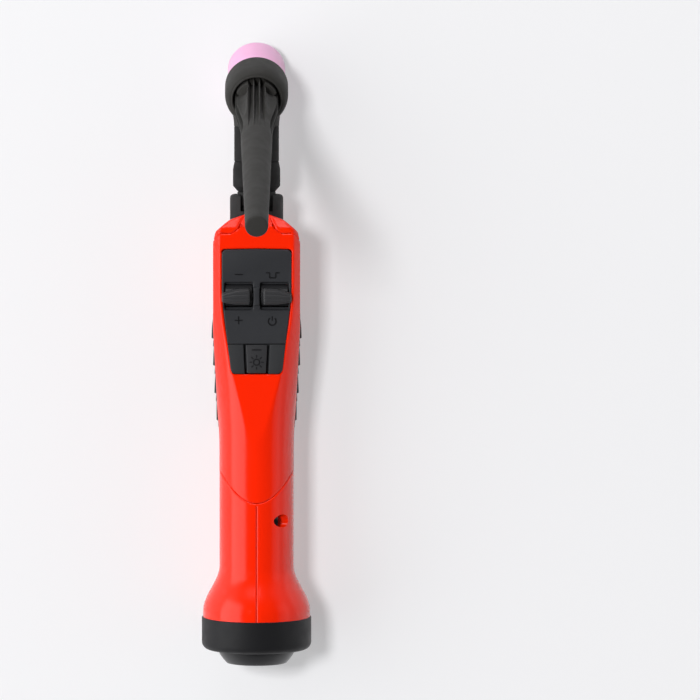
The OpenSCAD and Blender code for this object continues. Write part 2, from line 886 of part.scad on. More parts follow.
// Profile of the cap at a height: straight root, cone, then a slowly tapering stem
module back_cap() {
    under = body_top + 1.7;
    root_end = rim_high + cap_root_len;
    cone_end = root_end + 18;
    groove_end = cone_end + 16;
    ledge = rim_high + 4.5;
    scoop_r = 4.5;
    scoop_set = cap_root_r + 2.85;
    spigot_low = body_top - 3.4;
    color("#464543") at_head() difference() {
        union() {
            rotate_extrude() polygon([
                [0, under], [cap_root_r - 0.3, under], [cap_root_r, under + 0.3],
                [cap_root_r, root_end], [cap_root_r - 0.15, root_end + 1.5],
                [stem_r + 0.2, cone_end - 2], [stem_r, cone_end],
                [cap_end_r, cap_end - 0.7], [cap_end_r - 0.2, cap_end - 0.2],
                [cap_end_r - 0.7, cap_end], [0, cap_end]
            ]);
            translate([0, 0, spigot_low]) cylinder(r = cap_thread_r - run_gap, h = under - spigot_low + 0.1);
        }
        translate([0, 0, spigot_low - 1])
            cylinder(r = electrode_r + 0.9, h = cap_end - cap_end_wall - spigot_low + 1);
        for (turn = [45 : 90 : 315])
            rotate([0, 0, turn]) translate([scoop_set, 0, ledge])
                cylinder(r1 = scoop_r, r2 = scoop_r - 0.4, h = cone_end - ledge + 2);
        for (lobe = [0 : 90 : 270], slot = [-1, 0, 1])
            rotate([0, 0, lobe + 16.5 * slot]) rotate([90, 0, 0])
                translate([0, 0, -0.6]) linear_extrude(1.2) polygon([
                    [cap_root_r - groove_depth, under - 1], [cap_root_r + 3, under - 1],
                    [cap_root_r + 3, groove_end], [stem_r, groove_end],
                    [stem_r - groove_depth * 0.8, cone_end], [cap_root_r - groove_depth, root_end]
                ]);
    }
}

// ---- Switches ----

module switch_panel() {
    color("#343537") difference() {
        union() {
            translate([0, 0, panel_base]) linear_extrude(panel_t) intersection() {
                panel_outline(0);
                translate([-far / 2, pad_seam + seam_gap / 2]) square([far, panel_len]);
            }
            block([-post_half_w, rocker_y - post_half_len, panel_base],
                  [post_half_w, rocker_y + post_half_len, panel_top + post_proud]);
            block([-1.2, rocker_y - 2.6, rocker_z - shaft_r - 1.2], [1.2, rocker_y + 2.6, panel_base + 0.5]);
            for (side = [-1, 1]) {
                translate([side * (window_out + bearing_t / 2), rocker_y, (rocker_z + panel_base) / 2 - 0.6])
                    cube([bearing_t, bearing_w, panel_base - rocker_z + bearing_drop], center = true);
                for (y = [boss_front, boss_rear])
                    translate([side * boss_x, y, board_top + lie_gap])
                        cylinder(r = boss_r, h = panel_base - board_top);
            }
        }
        for (side = [-1, 1]) {
            block([side > 0 ? window_in : -window_out, rocker_y - window_half, panel_base - 1],
                  [side > 0 ? window_out : -window_in, rocker_y + window_half, panel_top + 1]);
            for (y = [boss_front, boss_rear])
                translate([side * boss_x, y, board_top - 1]) cylinder(r = 1 + run_gap, h = 5.5);
        }
        translate([0, rocker_y, rocker_z]) cross_rod(shaft_r + 0.02, -far / 2, far / 2);
    }
}

module button_plan(grow) {
    front = pad_seam - 0.35 + grow;
    rear = panel_rear + 0.25 - grow;
    half_w = button_w / 2 + grow;
    polygon([[-half_w, front], [half_w, front], [half_w - 0.55, rear], [-half_w + 0.55, rear]]);
}

module lower_pad() {
    color("#363739") difference() {
        union() {
            translate([0, 0, pad_base]) linear_extrude(panel_top - pad_base) intersection() {
                panel_outline(0);
                translate([-far / 2, panel_rear - 5]) square([far, pad_len + 5 - seam_gap / 2]);
            }
            block([-7, pad_seam - 1, pad_base], [7, pad_seam + 1.6, panel_base - lie_gap]);
        }
        translate([0, 0, pad_base + web_t]) linear_extrude(far) button_plan(channel_gap);
        translate([0, button_y, pad_base - 1]) cylinder(r = stem_hole_r, h = 5);
    }
}

module light_button() {
    stem_low = plunger_top + plunger_gap + button_travel;
    color("#3a3b3d") union() {
        translate([0, 0, button_under]) linear_extrude(panel_top + 0.1 - button_under) button_plan(0);
        translate([0, button_y, stem_low]) cylinder(r = stem_hole_r - 0.3, h = button_under - stem_low + 0.2);
        translate([0, button_y, stem_low + 0.1]) cylinder(r = stem_hole_r + 0.7, h = 0.9);
    }
}

// One rocker: a drum on the shaft, flat below, with a grip bar across its top
module rocker() {
    base = rocker_z + drum_r - 1.2;
    half_w = bar_w / 2;
    difference() {
        union() {
            difference() {
                translate([0, rocker_y, rocker_z]) cross_rod(drum_r, rocker_in, rocker_out);
                block([rocker_in - 1, rocker_y - far, rocker_z - far],
                      [rocker_out + 1, rocker_y + far, rocker_under]);
            }
            bar(bar_in, rocker_out, base, half_w);
            bar(rocker_out - 0.5, bar_in + bar_len, bar_under, half_w);
        }
        translate([0, rocker_y, rocker_z]) cross_rod(shaft_r + run_gap, 0, far / 2);
        for (side = [-1, 1])
            translate([0, rocker_y + side * 0.9, bar_top + 0.25]) cross_rod(0.45, 0, far / 2);
    }
}

module bar(from, to, base, half_w) {
    r = 1.3;
    translate([from, rocker_y, 0]) rotate([90, 0, 90]) linear_extrude(to - from) polygon(concat(
        [[-half_w, base], [half_w, base]],
        arc([half_w - r, bar_top - r], r, 0, 90, 4),
        arc([-half_w + r, bar_top - r], r, 90, 180, 4)
    ));
}

module rocker_right() {
    color("#3b3b3d") rocker();
}

module rocker_left() {
    color("#3b3b3d") mirror([1, 0, 0]) rocker();
}

module rocker_shaft() {
    color("#9a9ca0") translate([0, rocker_y, rocker_z])
        cross_rod(shaft_r, -window_out - 0.7, window_out + 0.7);
}

module circuit_board() {
    color("#22302a") difference() {
        block([-board_w / 2, board_rear, board_base], [board_w / 2, board_front, board_top]);
        for (side = [-1, 1], y = [boss_front, boss_rear])
            translate([side * boss_x, y, board_base - 1]) cylinder(r = 1.1, h = board_t + 2);
    }
}

module push_switches() {
    color("#202124") for (spot = switch_spots)
        translate([spot[0], spot[1], board_top]) {
            translate([-switch_side / 2, -switch_side / 2, 0])
                cube([switch_side, switch_side, switch_h - 0.7]);
            cylinder(r = 1.1, h = switch_h);
        }
}

module board_connector() {
    color("#e8e4da") difference() {
        block([-header_w / 2, board_rear + 1, board_base - header_h],
              [header_w / 2, board_rear + 1 + header_len, board_base]);
        block([-header_w / 2 + 0.8, board_rear - 1, board_base - header_h + 0.6],
              [header_w / 2 - 0.8, board_rear + header_len - 0.5, board_base - 0.8]);
    }
}

module board_screws() {
    color("#8d9095") for (side = [-1, 1], y = [boss_front, boss_rear])
        translate([side * boss_x, y, board_base]) {
            translate([0, 0, -1.3]) cylinder(r = 1.9, h = 1.3);
            translate([0, 0, -0.1]) cylinder(r = 1, h = board_t + board_screw_grip);
        }
}

module work_light() {
    rear = socket_room + 0.2;
    color("#f4f4ee") translate([0, 0, light_z]) union() {
        rod(light_r, rear, handle_len - 0.8);
        translate([0, handle_len - 0.8, 0]) sphere(light_r);
        rod(light_flange_r, rear, inside_front - 2 - lie_gap);
    }
}

top_cover();
shell_left();
shell_right();
grip_left();
grip_right();
shell_screws();
rear_collar();
ball_seat_ring();
hose_ball();
neck_socket();
neck_plug();
plug_o_ring();
neck_collar();
neck_sleeve();
gas_tube();
coupling_body();
coupling_nut();
head_insulation();
head_body();
collet_body();
gas_lens_screens();
collet();
tungsten_electrode();
nozzle_gasket();
gas_nozzle();
cap_o_ring();
back_cap();
switch_panel();
lower_pad();
rocker_left();
rocker_right();
rocker_shaft();
light_button();
circuit_board();
push_switches();
board_connector();
board_screws();
work_light();
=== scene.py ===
# %% [markdown]
# # A TIG welding torch, dressed for the camera
#
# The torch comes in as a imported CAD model, and each of its bodies can move. This lesson keeps that model
# as a frame and gives it its looks: smooth shells, soft grips, a fluted cap, and a finish for every piece.
# Lengths are worked out in millimetres, the unit on the real drawings, and turned to metres once, where a
# mesh is made.

import json
import math

import bmesh
import bpy
import numpy as np
from mathutils import Matrix, Vector


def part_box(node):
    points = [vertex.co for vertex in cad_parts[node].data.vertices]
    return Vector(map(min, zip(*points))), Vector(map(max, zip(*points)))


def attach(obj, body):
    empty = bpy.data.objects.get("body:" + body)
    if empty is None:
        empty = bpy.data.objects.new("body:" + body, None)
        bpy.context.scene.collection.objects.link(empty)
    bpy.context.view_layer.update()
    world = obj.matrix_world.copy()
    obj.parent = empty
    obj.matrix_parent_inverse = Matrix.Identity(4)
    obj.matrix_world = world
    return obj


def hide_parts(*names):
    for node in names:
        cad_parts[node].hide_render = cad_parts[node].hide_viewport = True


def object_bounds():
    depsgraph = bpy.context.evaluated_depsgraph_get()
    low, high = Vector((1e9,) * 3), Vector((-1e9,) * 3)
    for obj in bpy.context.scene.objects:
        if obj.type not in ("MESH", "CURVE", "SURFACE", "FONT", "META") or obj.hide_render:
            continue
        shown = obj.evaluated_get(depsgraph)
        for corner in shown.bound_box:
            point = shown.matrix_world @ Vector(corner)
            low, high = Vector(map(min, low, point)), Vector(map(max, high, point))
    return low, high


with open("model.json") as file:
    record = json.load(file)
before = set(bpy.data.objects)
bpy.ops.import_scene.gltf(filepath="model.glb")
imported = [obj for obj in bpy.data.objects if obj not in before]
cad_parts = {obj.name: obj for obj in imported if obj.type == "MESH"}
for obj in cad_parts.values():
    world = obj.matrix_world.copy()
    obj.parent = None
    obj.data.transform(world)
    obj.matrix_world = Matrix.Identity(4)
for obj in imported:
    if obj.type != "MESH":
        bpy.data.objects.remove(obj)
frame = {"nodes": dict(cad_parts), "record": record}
cad_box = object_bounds()
MM = 0.001


def joint(name):
    """A joint of the torch, as its record gives it."""
    return next(j for j in frame["record"]["behaviour"]["joints"] if j["name"] == name)


print("CAD box in mm:", [round(x / MM, 1) for corner in cad_box for x in corner])

# %% [markdown]
# ## The camera
#
# A product photographer stands far back with a long lens, so that a long tool doesn't taper. Here the
# camera hangs 2.6 m above the torch and leans 4.7 degrees towards the head, which shows a little of
# the cap's far side. The torch stands left of the middle. The camera is panned for that, because a pan
# of under one degree changes no visible shape, while a shifted lens would also shift every other view.

# %% Camera
IMAGE_PX = 700
SENSOR_MM = 36.0
CLIP_NEAR_M, CLIP_FAR_M = 0.1, 50
FOCAL_PX = 6518.0
STAND_OFF_MM = 2600.0
LEAN = math.radians(4.7)
AIM_MM = Vector((37.26, 113.37, 0.0))
toward_camera = Vector((0, math.sin(LEAN), math.cos(LEAN)))
picture_up = Vector((0, math.cos(LEAN), -math.sin(LEAN)))
stand_mm = Vector((0, AIM_MM.y, 0)) + STAND_OFF_MM * toward_camera
look = (AIM_MM - stand_mm).normalized()
right = look.cross(picture_up).normalized()
up = right.cross(look)
camera = bpy.data.objects.new("camera", bpy.data.cameras.new("camera"))
camera.data.sensor_width = SENSOR_MM
camera.data.lens = FOCAL_PX * SENSOR_MM / IMAGE_PX
camera.data.clip_start = CLIP_NEAR_M
camera.data.clip_end = CLIP_FAR_M
facing = Matrix((right, up, -look)).transposed().to_4x4()
camera.matrix_world = Matrix.Translation(stand_mm * MM) @ facing
bpy.context.scene.collection.objects.link(camera)
bpy.context.scene.camera = camera
bpy.context.scene.view_settings.view_transform = "Standard"
print("lens", round(camera.data.lens, 1), "mm")

# %% [markdown]
# ## Nodes and colours
#
# Colours are easiest to read as sRGB hex values, which is how a paint or a plastic is matched on a screen.
# Blender mixes light in linear values, so one function turns hex to linear. A second small function adds
# a node with its settings and links, and every material below is made with it.

# %% Helpers for materials
def linear(hex_colour, share=1.0):
    """A colour such as #fc2500 as linear RGBA, or a darker share of it."""
    parts = [int(hex_colour[i : i + 2], 16) / 255 for i in (1, 3, 5)]
    return [share * (c / 12.92 if c <= 0.04045 else ((c + 0.055) / 1.055) ** 2.4) for c in parts] + [1.0]


def add_node(tree, kind, inputs=None, **settings):
    """Adds a node. Each input is a value, or the socket of another node to link from."""
    made = tree.nodes.new(kind)
    for name, value in settings.items():
        setattr(made, name, value)
    for key, value in (inputs or {}).items():
        if isinstance(value, bpy.types.NodeSocket):
            tree.links.new(value, made.inputs[key])
        else:
            made.inputs[key].default_value = value
    return made


def new_material(name):
    """A material without nodes, and its node tree."""
    made = bpy.data.materials.new(name)
    made.use_nodes = True
    made.node_tree.nodes.clear()
    return made, made.node_tree


print("red as linear:", [round(c, 3) for c in linear("#fc2500")])

# %% [markdown]
# ## Studio
#
# The torch lies on pale paper. A photographer who wants deep colour on a glossy part keeps the room dark
# straight above it and puts the light to the sides: the top then mirrors nothing, and the flanks carry
# long soft highlights. So a large softbox stands low on the left, a weaker one on the right, and the room
# is bright only round the horizon. A small steep lamp lays the shadow close beside the torch. It is kept
# out of the reflections, as a lamp behind a grid would be. Together the lights add up to about one, so
# that a surface renders about as its colour is written.
#
# The paper glows a little of itself, but only for rays that look at it: this keeps the background pale and
# the shadow light, and adds nothing to the light on the torch.

# %% Floor
# The paper's size, and its gap to the torch's lowest point, in metres
FLOOR_SIZE, FLOOR_GAP = 60.0, 0.0002
PAPER_GLOW = 0.355
PAPER_COLOUR, LAMP_WHITE = "#c0c0c2", "#fefeff"
floor_z = cad_box[0].z - FLOOR_GAP
paper, tree = new_material("matt paper")
path = add_node(tree, "ShaderNodeLightPath").outputs
camera_or_gloss = add_node(tree, "ShaderNodeMath", {
    0: path["Is Camera Ray"], 1: path["Is Glossy Ray"],
}, operation="MAXIMUM")
looked_at = add_node(tree, "ShaderNodeMath", {
    0: camera_or_gloss.outputs[0], 1: path["Is Transmission Ray"],
}, operation="MAXIMUM")
glow = add_node(tree, "ShaderNodeMath", {0: looked_at.outputs[0], 1: PAPER_GLOW}, operation="MULTIPLY")
shine = add_node(tree, "ShaderNodeEmission", {"Color": linear(LAMP_WHITE), "Strength": glow.outputs[0]})
sheet = add_node(tree, "ShaderNodeBsdfDiffuse", {"Color": linear(PAPER_COLOUR)})
both = add_node(tree, "ShaderNodeAddShader", {0: shine.outputs[0], 1: sheet.outputs[0]})
add_node(tree, "ShaderNodeOutputMaterial", {"Surface": both.outputs[0]})
half = FLOOR_SIZE / 2
floor_mesh = bpy.data.meshes.new("floor")
floor_corners = [(x, y, floor_z) for x, y in ((-half, -half), (half, -half), (half, half), (-half, half))]
floor_mesh.from_pydata(floor_corners, [], [(0, 1, 2, 3)])
floor = bpy.data.objects.new("floor", floor_mesh)
floor_mesh.materials.append(paper)
bpy.context.scene.collection.objects.link(floor)
print("floor at", round(floor_z / MM, 1), "mm")

# %% Room and lamps
# Brightness of the room round the horizon and straight above, and the heights between which it falls
ROOM_BRIGHT, ROOM_DARK = 0.48, 0.05
FALL_START, FALL_END = 0.25, 0.6
world = bpy.data.worlds.new("studio")
world.use_nodes = True
bpy.context.scene.world = world
tree = world.node_tree
tree.nodes.clear()
heading = add_node(tree, "ShaderNodeTexCoord").outputs["Generated"]
height = add_node(tree, "ShaderNodeSeparateXYZ", {"Vector": heading}).outputs["Z"]
room = add_node(tree, "ShaderNodeMapRange", {
    "Value": height, "From Min": FALL_START, "From Max": FALL_END,
    "To Min": ROOM_BRIGHT, "To Max": ROOM_DARK,
}, interpolation_type="SMOOTHSTEP")
backing = add_node(tree, "ShaderNodeBackground", {"Color": linear(LAMP_WHITE), "Strength": room.outputs[0]})
add_node(tree, "ShaderNodeOutputWorld", {"Surface": backing.outputs[0]})


def softbox(name, direction, distance, width, length, radiance):
    """A soft lamp that looks at the torch, sized in metres. Its power follows from how bright its face is."""
    lamp = bpy.data.lights.new(name, "AREA")
    lamp.shape = "RECTANGLE"
    lamp.size, lamp.size_y = width, length
    lamp.energy = math.pi * width * length * radiance
    made = bpy.data.objects.new(name, lamp)
    away = Vector(direction).normalized()
    across = Vector((0, 1, 0)).cross(away).normalized()
    facing = Matrix((across, away.cross(across), away)).transposed().to_4x4()
    middle = (cad_box[0] + cad_box[1]) / 2
    made.matrix_world = Matrix.Translation(middle + away * distance) @ facing
    made.visible_camera = False
    bpy.context.scene.collection.objects.link(made)
    return made


softbox("left_softbox", (-0.87, 0.0, 0.5), 3.0, 2.8, 4.2, 1.7)
softbox("right_softbox", (0.9, 0.1, 0.45), 3.0, 1.4, 2.8, 0.35)
softbox("far_softbox", (-0.1, 0.9, 0.45), 3.0, 1.6, 1.2, 2.6)
steep = softbox("steep_lamp", (-0.28, 0.17, 1.0), 3.2, 0.5, 0.5, 86.0)
steep.visible_glossy = False

# %% [markdown]
# ## Moulded finishes
#
# Almost everything that a hand touches is moulded plastic or rubber, and what tells these apart is how
# light spreads on them. A polished mould gives a tight highlight, a spark-eroded one a broad satin one,
# and rubber almost none. Real mould grain is some hundredths of a millimetre wide, too fine to show here,
# so it is drawn as tenths of a millimetre, just enough to soften the highlights.

# %% Plastics and rubbers
CLOUD_MM, GLOSS_MM = 9.0, 4.0
# The part of 0 to 1 that a noise fills in practice, and how far gloss strays from its mean
NOISE_LOW, NOISE_HIGH = 0.3, 0.7
GLOSS_STRAY = 0.08


def moulded(name, colour, roughness, grain_mm=0.5, grain_depth_mm=0.004, shade=0.94, ior=1.5):
    """A moulded plastic or rubber: faint cloudy colour, uneven gloss, and a fine mould grain."""
    made, tree = new_material(name)
    place = add_node(tree, "ShaderNodeTexCoord").outputs["Object"]
    clouds = add_node(tree, "ShaderNodeTexNoise", {
        "Vector": place, "Scale": 1 / (CLOUD_MM * MM), "Detail": 3,
    })
    tone = add_node(tree, "ShaderNodeMix", {
        0: clouds.outputs["Fac"], 6: linear(colour, shade), 7: linear(colour),
    }, data_type="RGBA")
    patches = add_node(tree, "ShaderNodeTexNoise", {
        "Vector": place, "Scale": 1 / (GLOSS_MM * MM), "Detail": 4,
    })
    gloss = add_node(tree, "ShaderNodeMapRange", {
        "Value": patches.outputs["Fac"], "From Min": NOISE_LOW, "From Max": NOISE_HIGH,
        "To Min": roughness * (1 - GLOSS_STRAY), "To Max": roughness * (1 + GLOSS_STRAY),
    })
    grain = add_node(tree, "ShaderNodeTexNoise", {
        "Vector": place, "Scale": 1 / (grain_mm * MM), "Detail": 2,
    })
    relief = add_node(tree, "ShaderNodeBump", {
        "Height": grain.outputs["Fac"], "Distance": grain_depth_mm * MM,
    })
    shader = add_node(tree, "ShaderNodeBsdfPrincipled", {
        "Base Color": tone.outputs[2], "Roughness": gloss.outputs[0], "IOR": ior,
        "Normal": relief.outputs[0],
    })
    add_node(tree, "ShaderNodeOutputMaterial", {"Surface": shader.outputs[0]})
    return made


# Red polyamide from a polished mould: strong colour, clear soft highlights
red_polyamide = moulded("red polyamide", "#fc2500", 0.2, 0.9, 0.001, 0.98, 1.48)
# Black polyamide of the switch panel: fine spark-eroded satin
satin_polyamide = moulded("satin black polyamide", "#313235", 0.46, 0.4, 0.006)
# The levers are of the same plastic from a finer mould, so they are a touch glossier
lever_polyamide = moulded("lever black polyamide", "#343436", 0.42, 0.4, 0.005)
# Soft pad behind the panel: rubber, nearly matt
pad_elastomer = moulded("pad elastomer", "#303133", 0.55, 0.4, 0.006)
# Elastomer of the grips: matt and slightly dusty
grip_elastomer = moulded("grip elastomer", "#272829", 0.7, 0.35, 0.012, 0.88)
# The collar is satin, and the ball is polished so that it turns
collar_polyamide = moulded("collar black polyamide", "#1c1c1e", 0.52, 0.6, 0.005, ior=1.36)
ball_acetal = moulded("ball black acetal", "#222224", 0.3, 0.8, 0.002)
# Silicone rubber over the neck: soft and matt
neck_silicone = moulded("neck silicone rubber", "#161616", 0.78, 0.5, 0.01, 0.88, 1.41)
# Glass-filled polyamide of the socket: the fibres leave it dull
socket_polyamide = moulded("socket black polyamide", "#191919", 0.72, 0.4, 0.006)
# Phenolic of the head and the cap: hard, warm grey-black, with a dull sheen
head_phenolic = moulded("head phenolic", "#302f2d", 0.74, 0.5, 0.006)
cap_phenolic = moulded("cap phenolic", "#31302e", 0.76, 0.5, 0.005)
# Moulded seals, gasket, plug and switches: plain dark rubber, chalky white, cream and black
seal_rubber = moulded("nitrile rubber", "#1b1b1b", 0.55)
gasket_ptfe = moulded("white fluoroplastic", "#e8e5dc", 0.5, ior=1.38)
header_nylon = moulded("natural nylon", "#e5e1d6", 0.5)
switch_body = moulded("switch body plastic", "#1f2022", 0.5)
# Pad-printed ink: darker than the panel and a little glossier
mark_print = moulded("dark pad print", "#141416", 0.35)
# Solder mask over glass laminate: a dark green lacquer, painted darker than its own green so that it reads as
# shade through the switch windows
board_painted_shade = moulded("laminate in painted shade", "#131a17", 0.4)
print("plastics made")

# %% [markdown]
# ## Ceramic
#
# The nozzle is sintered alumina, coloured pink all through. It is pressed and then turned before firing,
# which leaves very fine rings round it. Light goes a little way in, so its shaded side stays pink rather
# than grey. A little subsurface scattering does this. The rings come from a noise that is stretched out
# across the nozzle's axis, so that it varies only from ring to ring.

# %% Alumina
head_joint = joint("cap_turn")
HEAD_LEAN = math.atan2(-head_joint["axis"][1], head_joint["axis"][2])
SPECKLE_MM = 0.7
RING_MM, RING_DEPTH_MM = 0.9, 0.02
# How fast the rings' noise varies across the axis, as a share of how fast it varies along it
ACROSS_RINGS = 0.02
# How far red, green and blue light go in, in metres
SOAK = (0.002, 0.001, 0.0015)


def alumina(name, colour):
    """Sintered alumina with fine turned rings across the head's axis."""
    made, tree = new_material(name)
    place = add_node(tree, "ShaderNodeTexCoord").outputs["Object"]
    speckle = add_node(tree, "ShaderNodeTexNoise", {
        "Vector": place, "Scale": 1 / (SPECKLE_MM * MM), "Detail": 4,
    })
    tone = add_node(tree, "ShaderNodeMix", {
        0: speckle.outputs["Fac"], 6: linear(colour, 0.96), 7: linear(colour),
    }, data_type="RGBA")
    upright = add_node(tree, "ShaderNodeMapping", {"Vector": place, "Rotation": (-HEAD_LEAN, 0, 0)})
    stretched = add_node(tree, "ShaderNodeMapping", {
        "Vector": upright.outputs[0], "Scale": (ACROSS_RINGS, ACROSS_RINGS, 1),
    })
    rings = add_node(tree, "ShaderNodeTexNoise", {
        "Vector": stretched.outputs[0], "Scale": 1 / (RING_MM * MM), "Detail": 2,
    })
    relief = add_node(tree, "ShaderNodeBump", {
        "Height": rings.outputs["Fac"], "Distance": RING_DEPTH_MM * MM,
    })
    shader = add_node(tree, "ShaderNodeBsdfPrincipled", {
        "Base Color": tone.outputs[2], "Roughness": 0.38, "IOR": 1.76,
        "Subsurface Weight": 0.25, "Subsurface Radius": SOAK, "Subsurface Scale": 1.0,
        "Normal": relief.outputs[0],
    })
    add_node(tree, "ShaderNodeOutputMaterial", {"Surface": shader.outputs[0]})
    return made


pink_alumina = alumina("pink alumina", "#ffb9e4")
print("the head's axis leans", round(math.degrees(HEAD_LEAN), 1), "degrees")

# %% [markdown]
# ## Metals and the clear lens
#
# The metal pieces show only in glimpses: the electrode and the gas lens in the nozzle's mouth, and a screw
# in its recess. Turned metal has fine lines round its axis. Drawn as a stretched noise, they spread each
# highlight across the lines. A metal keeps its colour in its reflection, so it needs no other colour.

# %% Metals
STAIN_MM, LINE_DEPTH_MM = 3.0, 0.004
# How far the gloss of bare metal strays from its mean
METAL_STRAY = 0.2


def metal(name, colour, roughness, line_mm=0.25, lines=(1, 1, 1)):
    """Bare metal with fine machining lines, which spread its highlights."""
    made, tree = new_material(name)
    place = add_node(tree, "ShaderNodeTexCoord").outputs["Object"]
    stretched = add_node(tree, "ShaderNodeMapping", {"Vector": place, "Scale": lines})
    marks = add_node(tree, "ShaderNodeTexNoise", {
        "Vector": stretched.outputs[0], "Scale": 1 / (line_mm * MM), "Detail": 3,
    })
    stains = add_node(tree, "ShaderNodeTexNoise", {
        "Vector": place, "Scale": 1 / (STAIN_MM * MM), "Detail": 3,
    })
    tone = add_node(tree, "ShaderNodeMix", {
        0: stains.outputs["Fac"], 6: linear(colour, 0.86), 7: linear(colour),
    }, data_type="RGBA")
    gloss = add_node(tree, "ShaderNodeMapRange", {
        "Value": marks.outputs["Fac"], "From Min": NOISE_LOW, "From Max": NOISE_HIGH,
        "To Min": roughness * (1 - METAL_STRAY), "To Max": roughness * (1 + METAL_STRAY),
    })
    relief = add_node(tree, "ShaderNodeBump", {
        "Height": marks.outputs["Fac"], "Distance": LINE_DEPTH_MM * MM,
    })
    shader = add_node(tree, "ShaderNodeBsdfPrincipled", {
        "Base Color": tone.outputs[2], "Metallic": 1.0, "Roughness": gloss.outputs[0],
        "Normal": relief.outputs[0],
    })
    add_node(tree, "ShaderNodeOutputMaterial", {"Surface": shader.outputs[0]})
    return made


# Turned brass and copper: warm, with rings along the neck
turned_brass = metal("turned brass", "#e0c27a", 0.3, 0.3, (1, 4, 1))
turned_copper = metal("turned copper", "#e0a080", 0.32, 0.3, (1, 1, 4))
# Tungsten is ground, so it is grey with a soft shine
ground_tungsten = metal("ground tungsten", "#b9bbbf", 0.35, 0.2, (1, 1, 3))
# Steel of the shaft and the small screws: bright and plain
bright_steel = metal("bright steel", "#cfd1d4", 0.25)
# Black oxide is a thin dull layer on steel
oxide_steel = metal("black oxide steel", "#3c3c3e", 0.45)
# Screens woven of wire about a tenth of a millimetre thick, drawn as coarse as it needs to show
woven_steel = metal("woven steel", "#c4c6c9", 0.5, 0.3)
print("metals made")

# %% Clear lens
RIPPLE_MM, RIPPLE_DEPTH_MM = 0.8, 0.003
lens_polycarbonate, tree = new_material("clear polycarbonate")
place = add_node(tree, "ShaderNodeTexCoord").outputs["Object"]
ripple = add_node(tree, "ShaderNodeTexNoise", {"Vector": place, "Scale": 1 / (RIPPLE_MM * MM), "Detail": 2})
relief = add_node(tree, "ShaderNodeBump", {"Height": ripple.outputs["Fac"], "Distance": RIPPLE_DEPTH_MM * MM})
shader = add_node(tree, "ShaderNodeBsdfPrincipled", {
    "Base Color": linear("#e4ecf0"), "Roughness": 0.12, "IOR": 1.585, "Transmission Weight": 0.6,
    "Normal": relief.outputs[0],
})
add_node(tree, "ShaderNodeOutputMaterial", {"Surface": shader.outputs[0]})
print("lens made")

# %% [markdown]
# ## From points to a piece
#
# Most pieces below are worked out as points and faces, in millimetres. One maker turns them into an object:
# it joins points that coincide, turns the faces outward and shades them smooth, with edges above an angle
# left crisp. A second one says what the piece belongs to: the body that it moves with, and the CAD nodes
# that it stands for.

# %% Making and dressing a piece
WELD_MM = 0.0005


def tidy(piece, sharp_deg=35):
    """Joins points that coincide, turns all faces outward and shades them smooth."""
    work = bmesh.new()
    work.from_mesh(piece.data)
    bmesh.ops.remove_doubles(work, verts=work.verts, dist=WELD_MM * MM)
    bmesh.ops.recalc_face_normals(work, faces=work.faces)
    work.to_mesh(piece.data)
    work.free()
    piece.data.shade_smooth()
    piece.data.set_sharp_from_angle(angle=math.radians(sharp_deg))


def place_mesh(name, mesh, material, sharp_deg=35):
    """A mesh as a tidy object with one material."""
    mesh.materials.clear()
    mesh.materials.append(material)
    made = bpy.data.objects.new(name, mesh)
    bpy.context.scene.collection.objects.link(made)
    tidy(made, sharp_deg)
    return made


def solid(name, points_mm, faces, material, sharp_deg=35):
    """A piece from points in millimetres and faces."""
    mesh = bpy.data.meshes.new(name)
    mesh.from_pydata((np.asarray(points_mm, float) * MM).tolist(), [], [list(face) for face in faces])
    return place_mesh(name, mesh, material, sharp_deg)


def dress(piece, body, slot, *nodes):
    """The piece rides on a body and stands for its CAD nodes. Its slot is not used."""
    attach(piece, body)
    if nodes:
        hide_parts(*nodes)
    print(f"{piece.name}: {len(piece.data.polygons)} faces, rides on {body}")
    return piece


def span(node):
    """Lowest and highest corner of a CAD node in millimetres."""
    return [[c / MM for c in corner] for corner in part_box(node)]


def ends(node):
    """Where a CAD node starts and ends along the handle, in millimetres."""
    low, high = span(node)
    return low[1], high[1]


print("the handle is", round(ends("top_cover")[1], 1), "mm long")

# %% [markdown]
# ## The handle's skin
#
# The real handle starts as a round bar that swells towards the switches and flares at the rear, and is then
# cut flat on top, below, at the sides and at the front. The same limits make it here: in each direction
# round the axis, the skin lies at the nearest limit. A plain minimum would leave knife edges, so a soft
# minimum blunts them a little, as the polished mould does. Low on the front, the wall slopes back by a
# tenth of its depth, so that the handle could leave its mould.

# %% Limits along the handle
NEARLY_STRAIGHT = math.radians(89)
# The most of a side that one rounded corner may take
CORNER_SHARE = 0.49


def rounded(points, radii, closed=True, steps=5):
    """A polyline with rounded corners. radii is one radius, or one for each point."""
    points = [np.array(p, float) for p in points]
    radii = radii if isinstance(radii, (list, tuple)) else [radii] * len(points)
    out = []
    for i, (corner, radius) in enumerate(zip(points, radii)):
        to_last, to_next = points[i - 1] - corner, points[(i + 1) % len(points)] - corner
        sizes = np.linalg.norm(to_last), np.linalg.norm(to_next)
        at_end = not closed and i in (0, len(points) - 1)
        half_angle = math.acos(max(-1, min(1, float(to_last @ to_next / (sizes[0] * sizes[1]))))) / 2
        if radius <= 0 or at_end or half_angle > NEARLY_STRAIGHT:
            out.append(corner)
            continue
        a, b = to_last / sizes[0], to_next / sizes[1]
        reach = min(radius / math.tan(half_angle), CORNER_SHARE * min(sizes))
        centre = corner + (a + b) / np.linalg.norm(a + b) * (reach / math.cos(half_angle))
        start, end = corner + a * reach - centre, corner + b * reach - centre
        turn = math.atan2(start[0] * end[1] - start[1] * end[0], float(start @ end))
        for k in range(steps + 1):
            c, s = math.cos(turn * k / steps), math.sin(turn * k / steps)
            out.append(centre + np.array([c * start[0] - s * start[1], s * start[0] + c * start[1]]))
    return np.array(out)


def run(path):
    """The distance along a path up to each of its points."""
    return np.concatenate([[0], np.cumsum(np.linalg.norm(np.diff(path, axis=0), axis=1))])


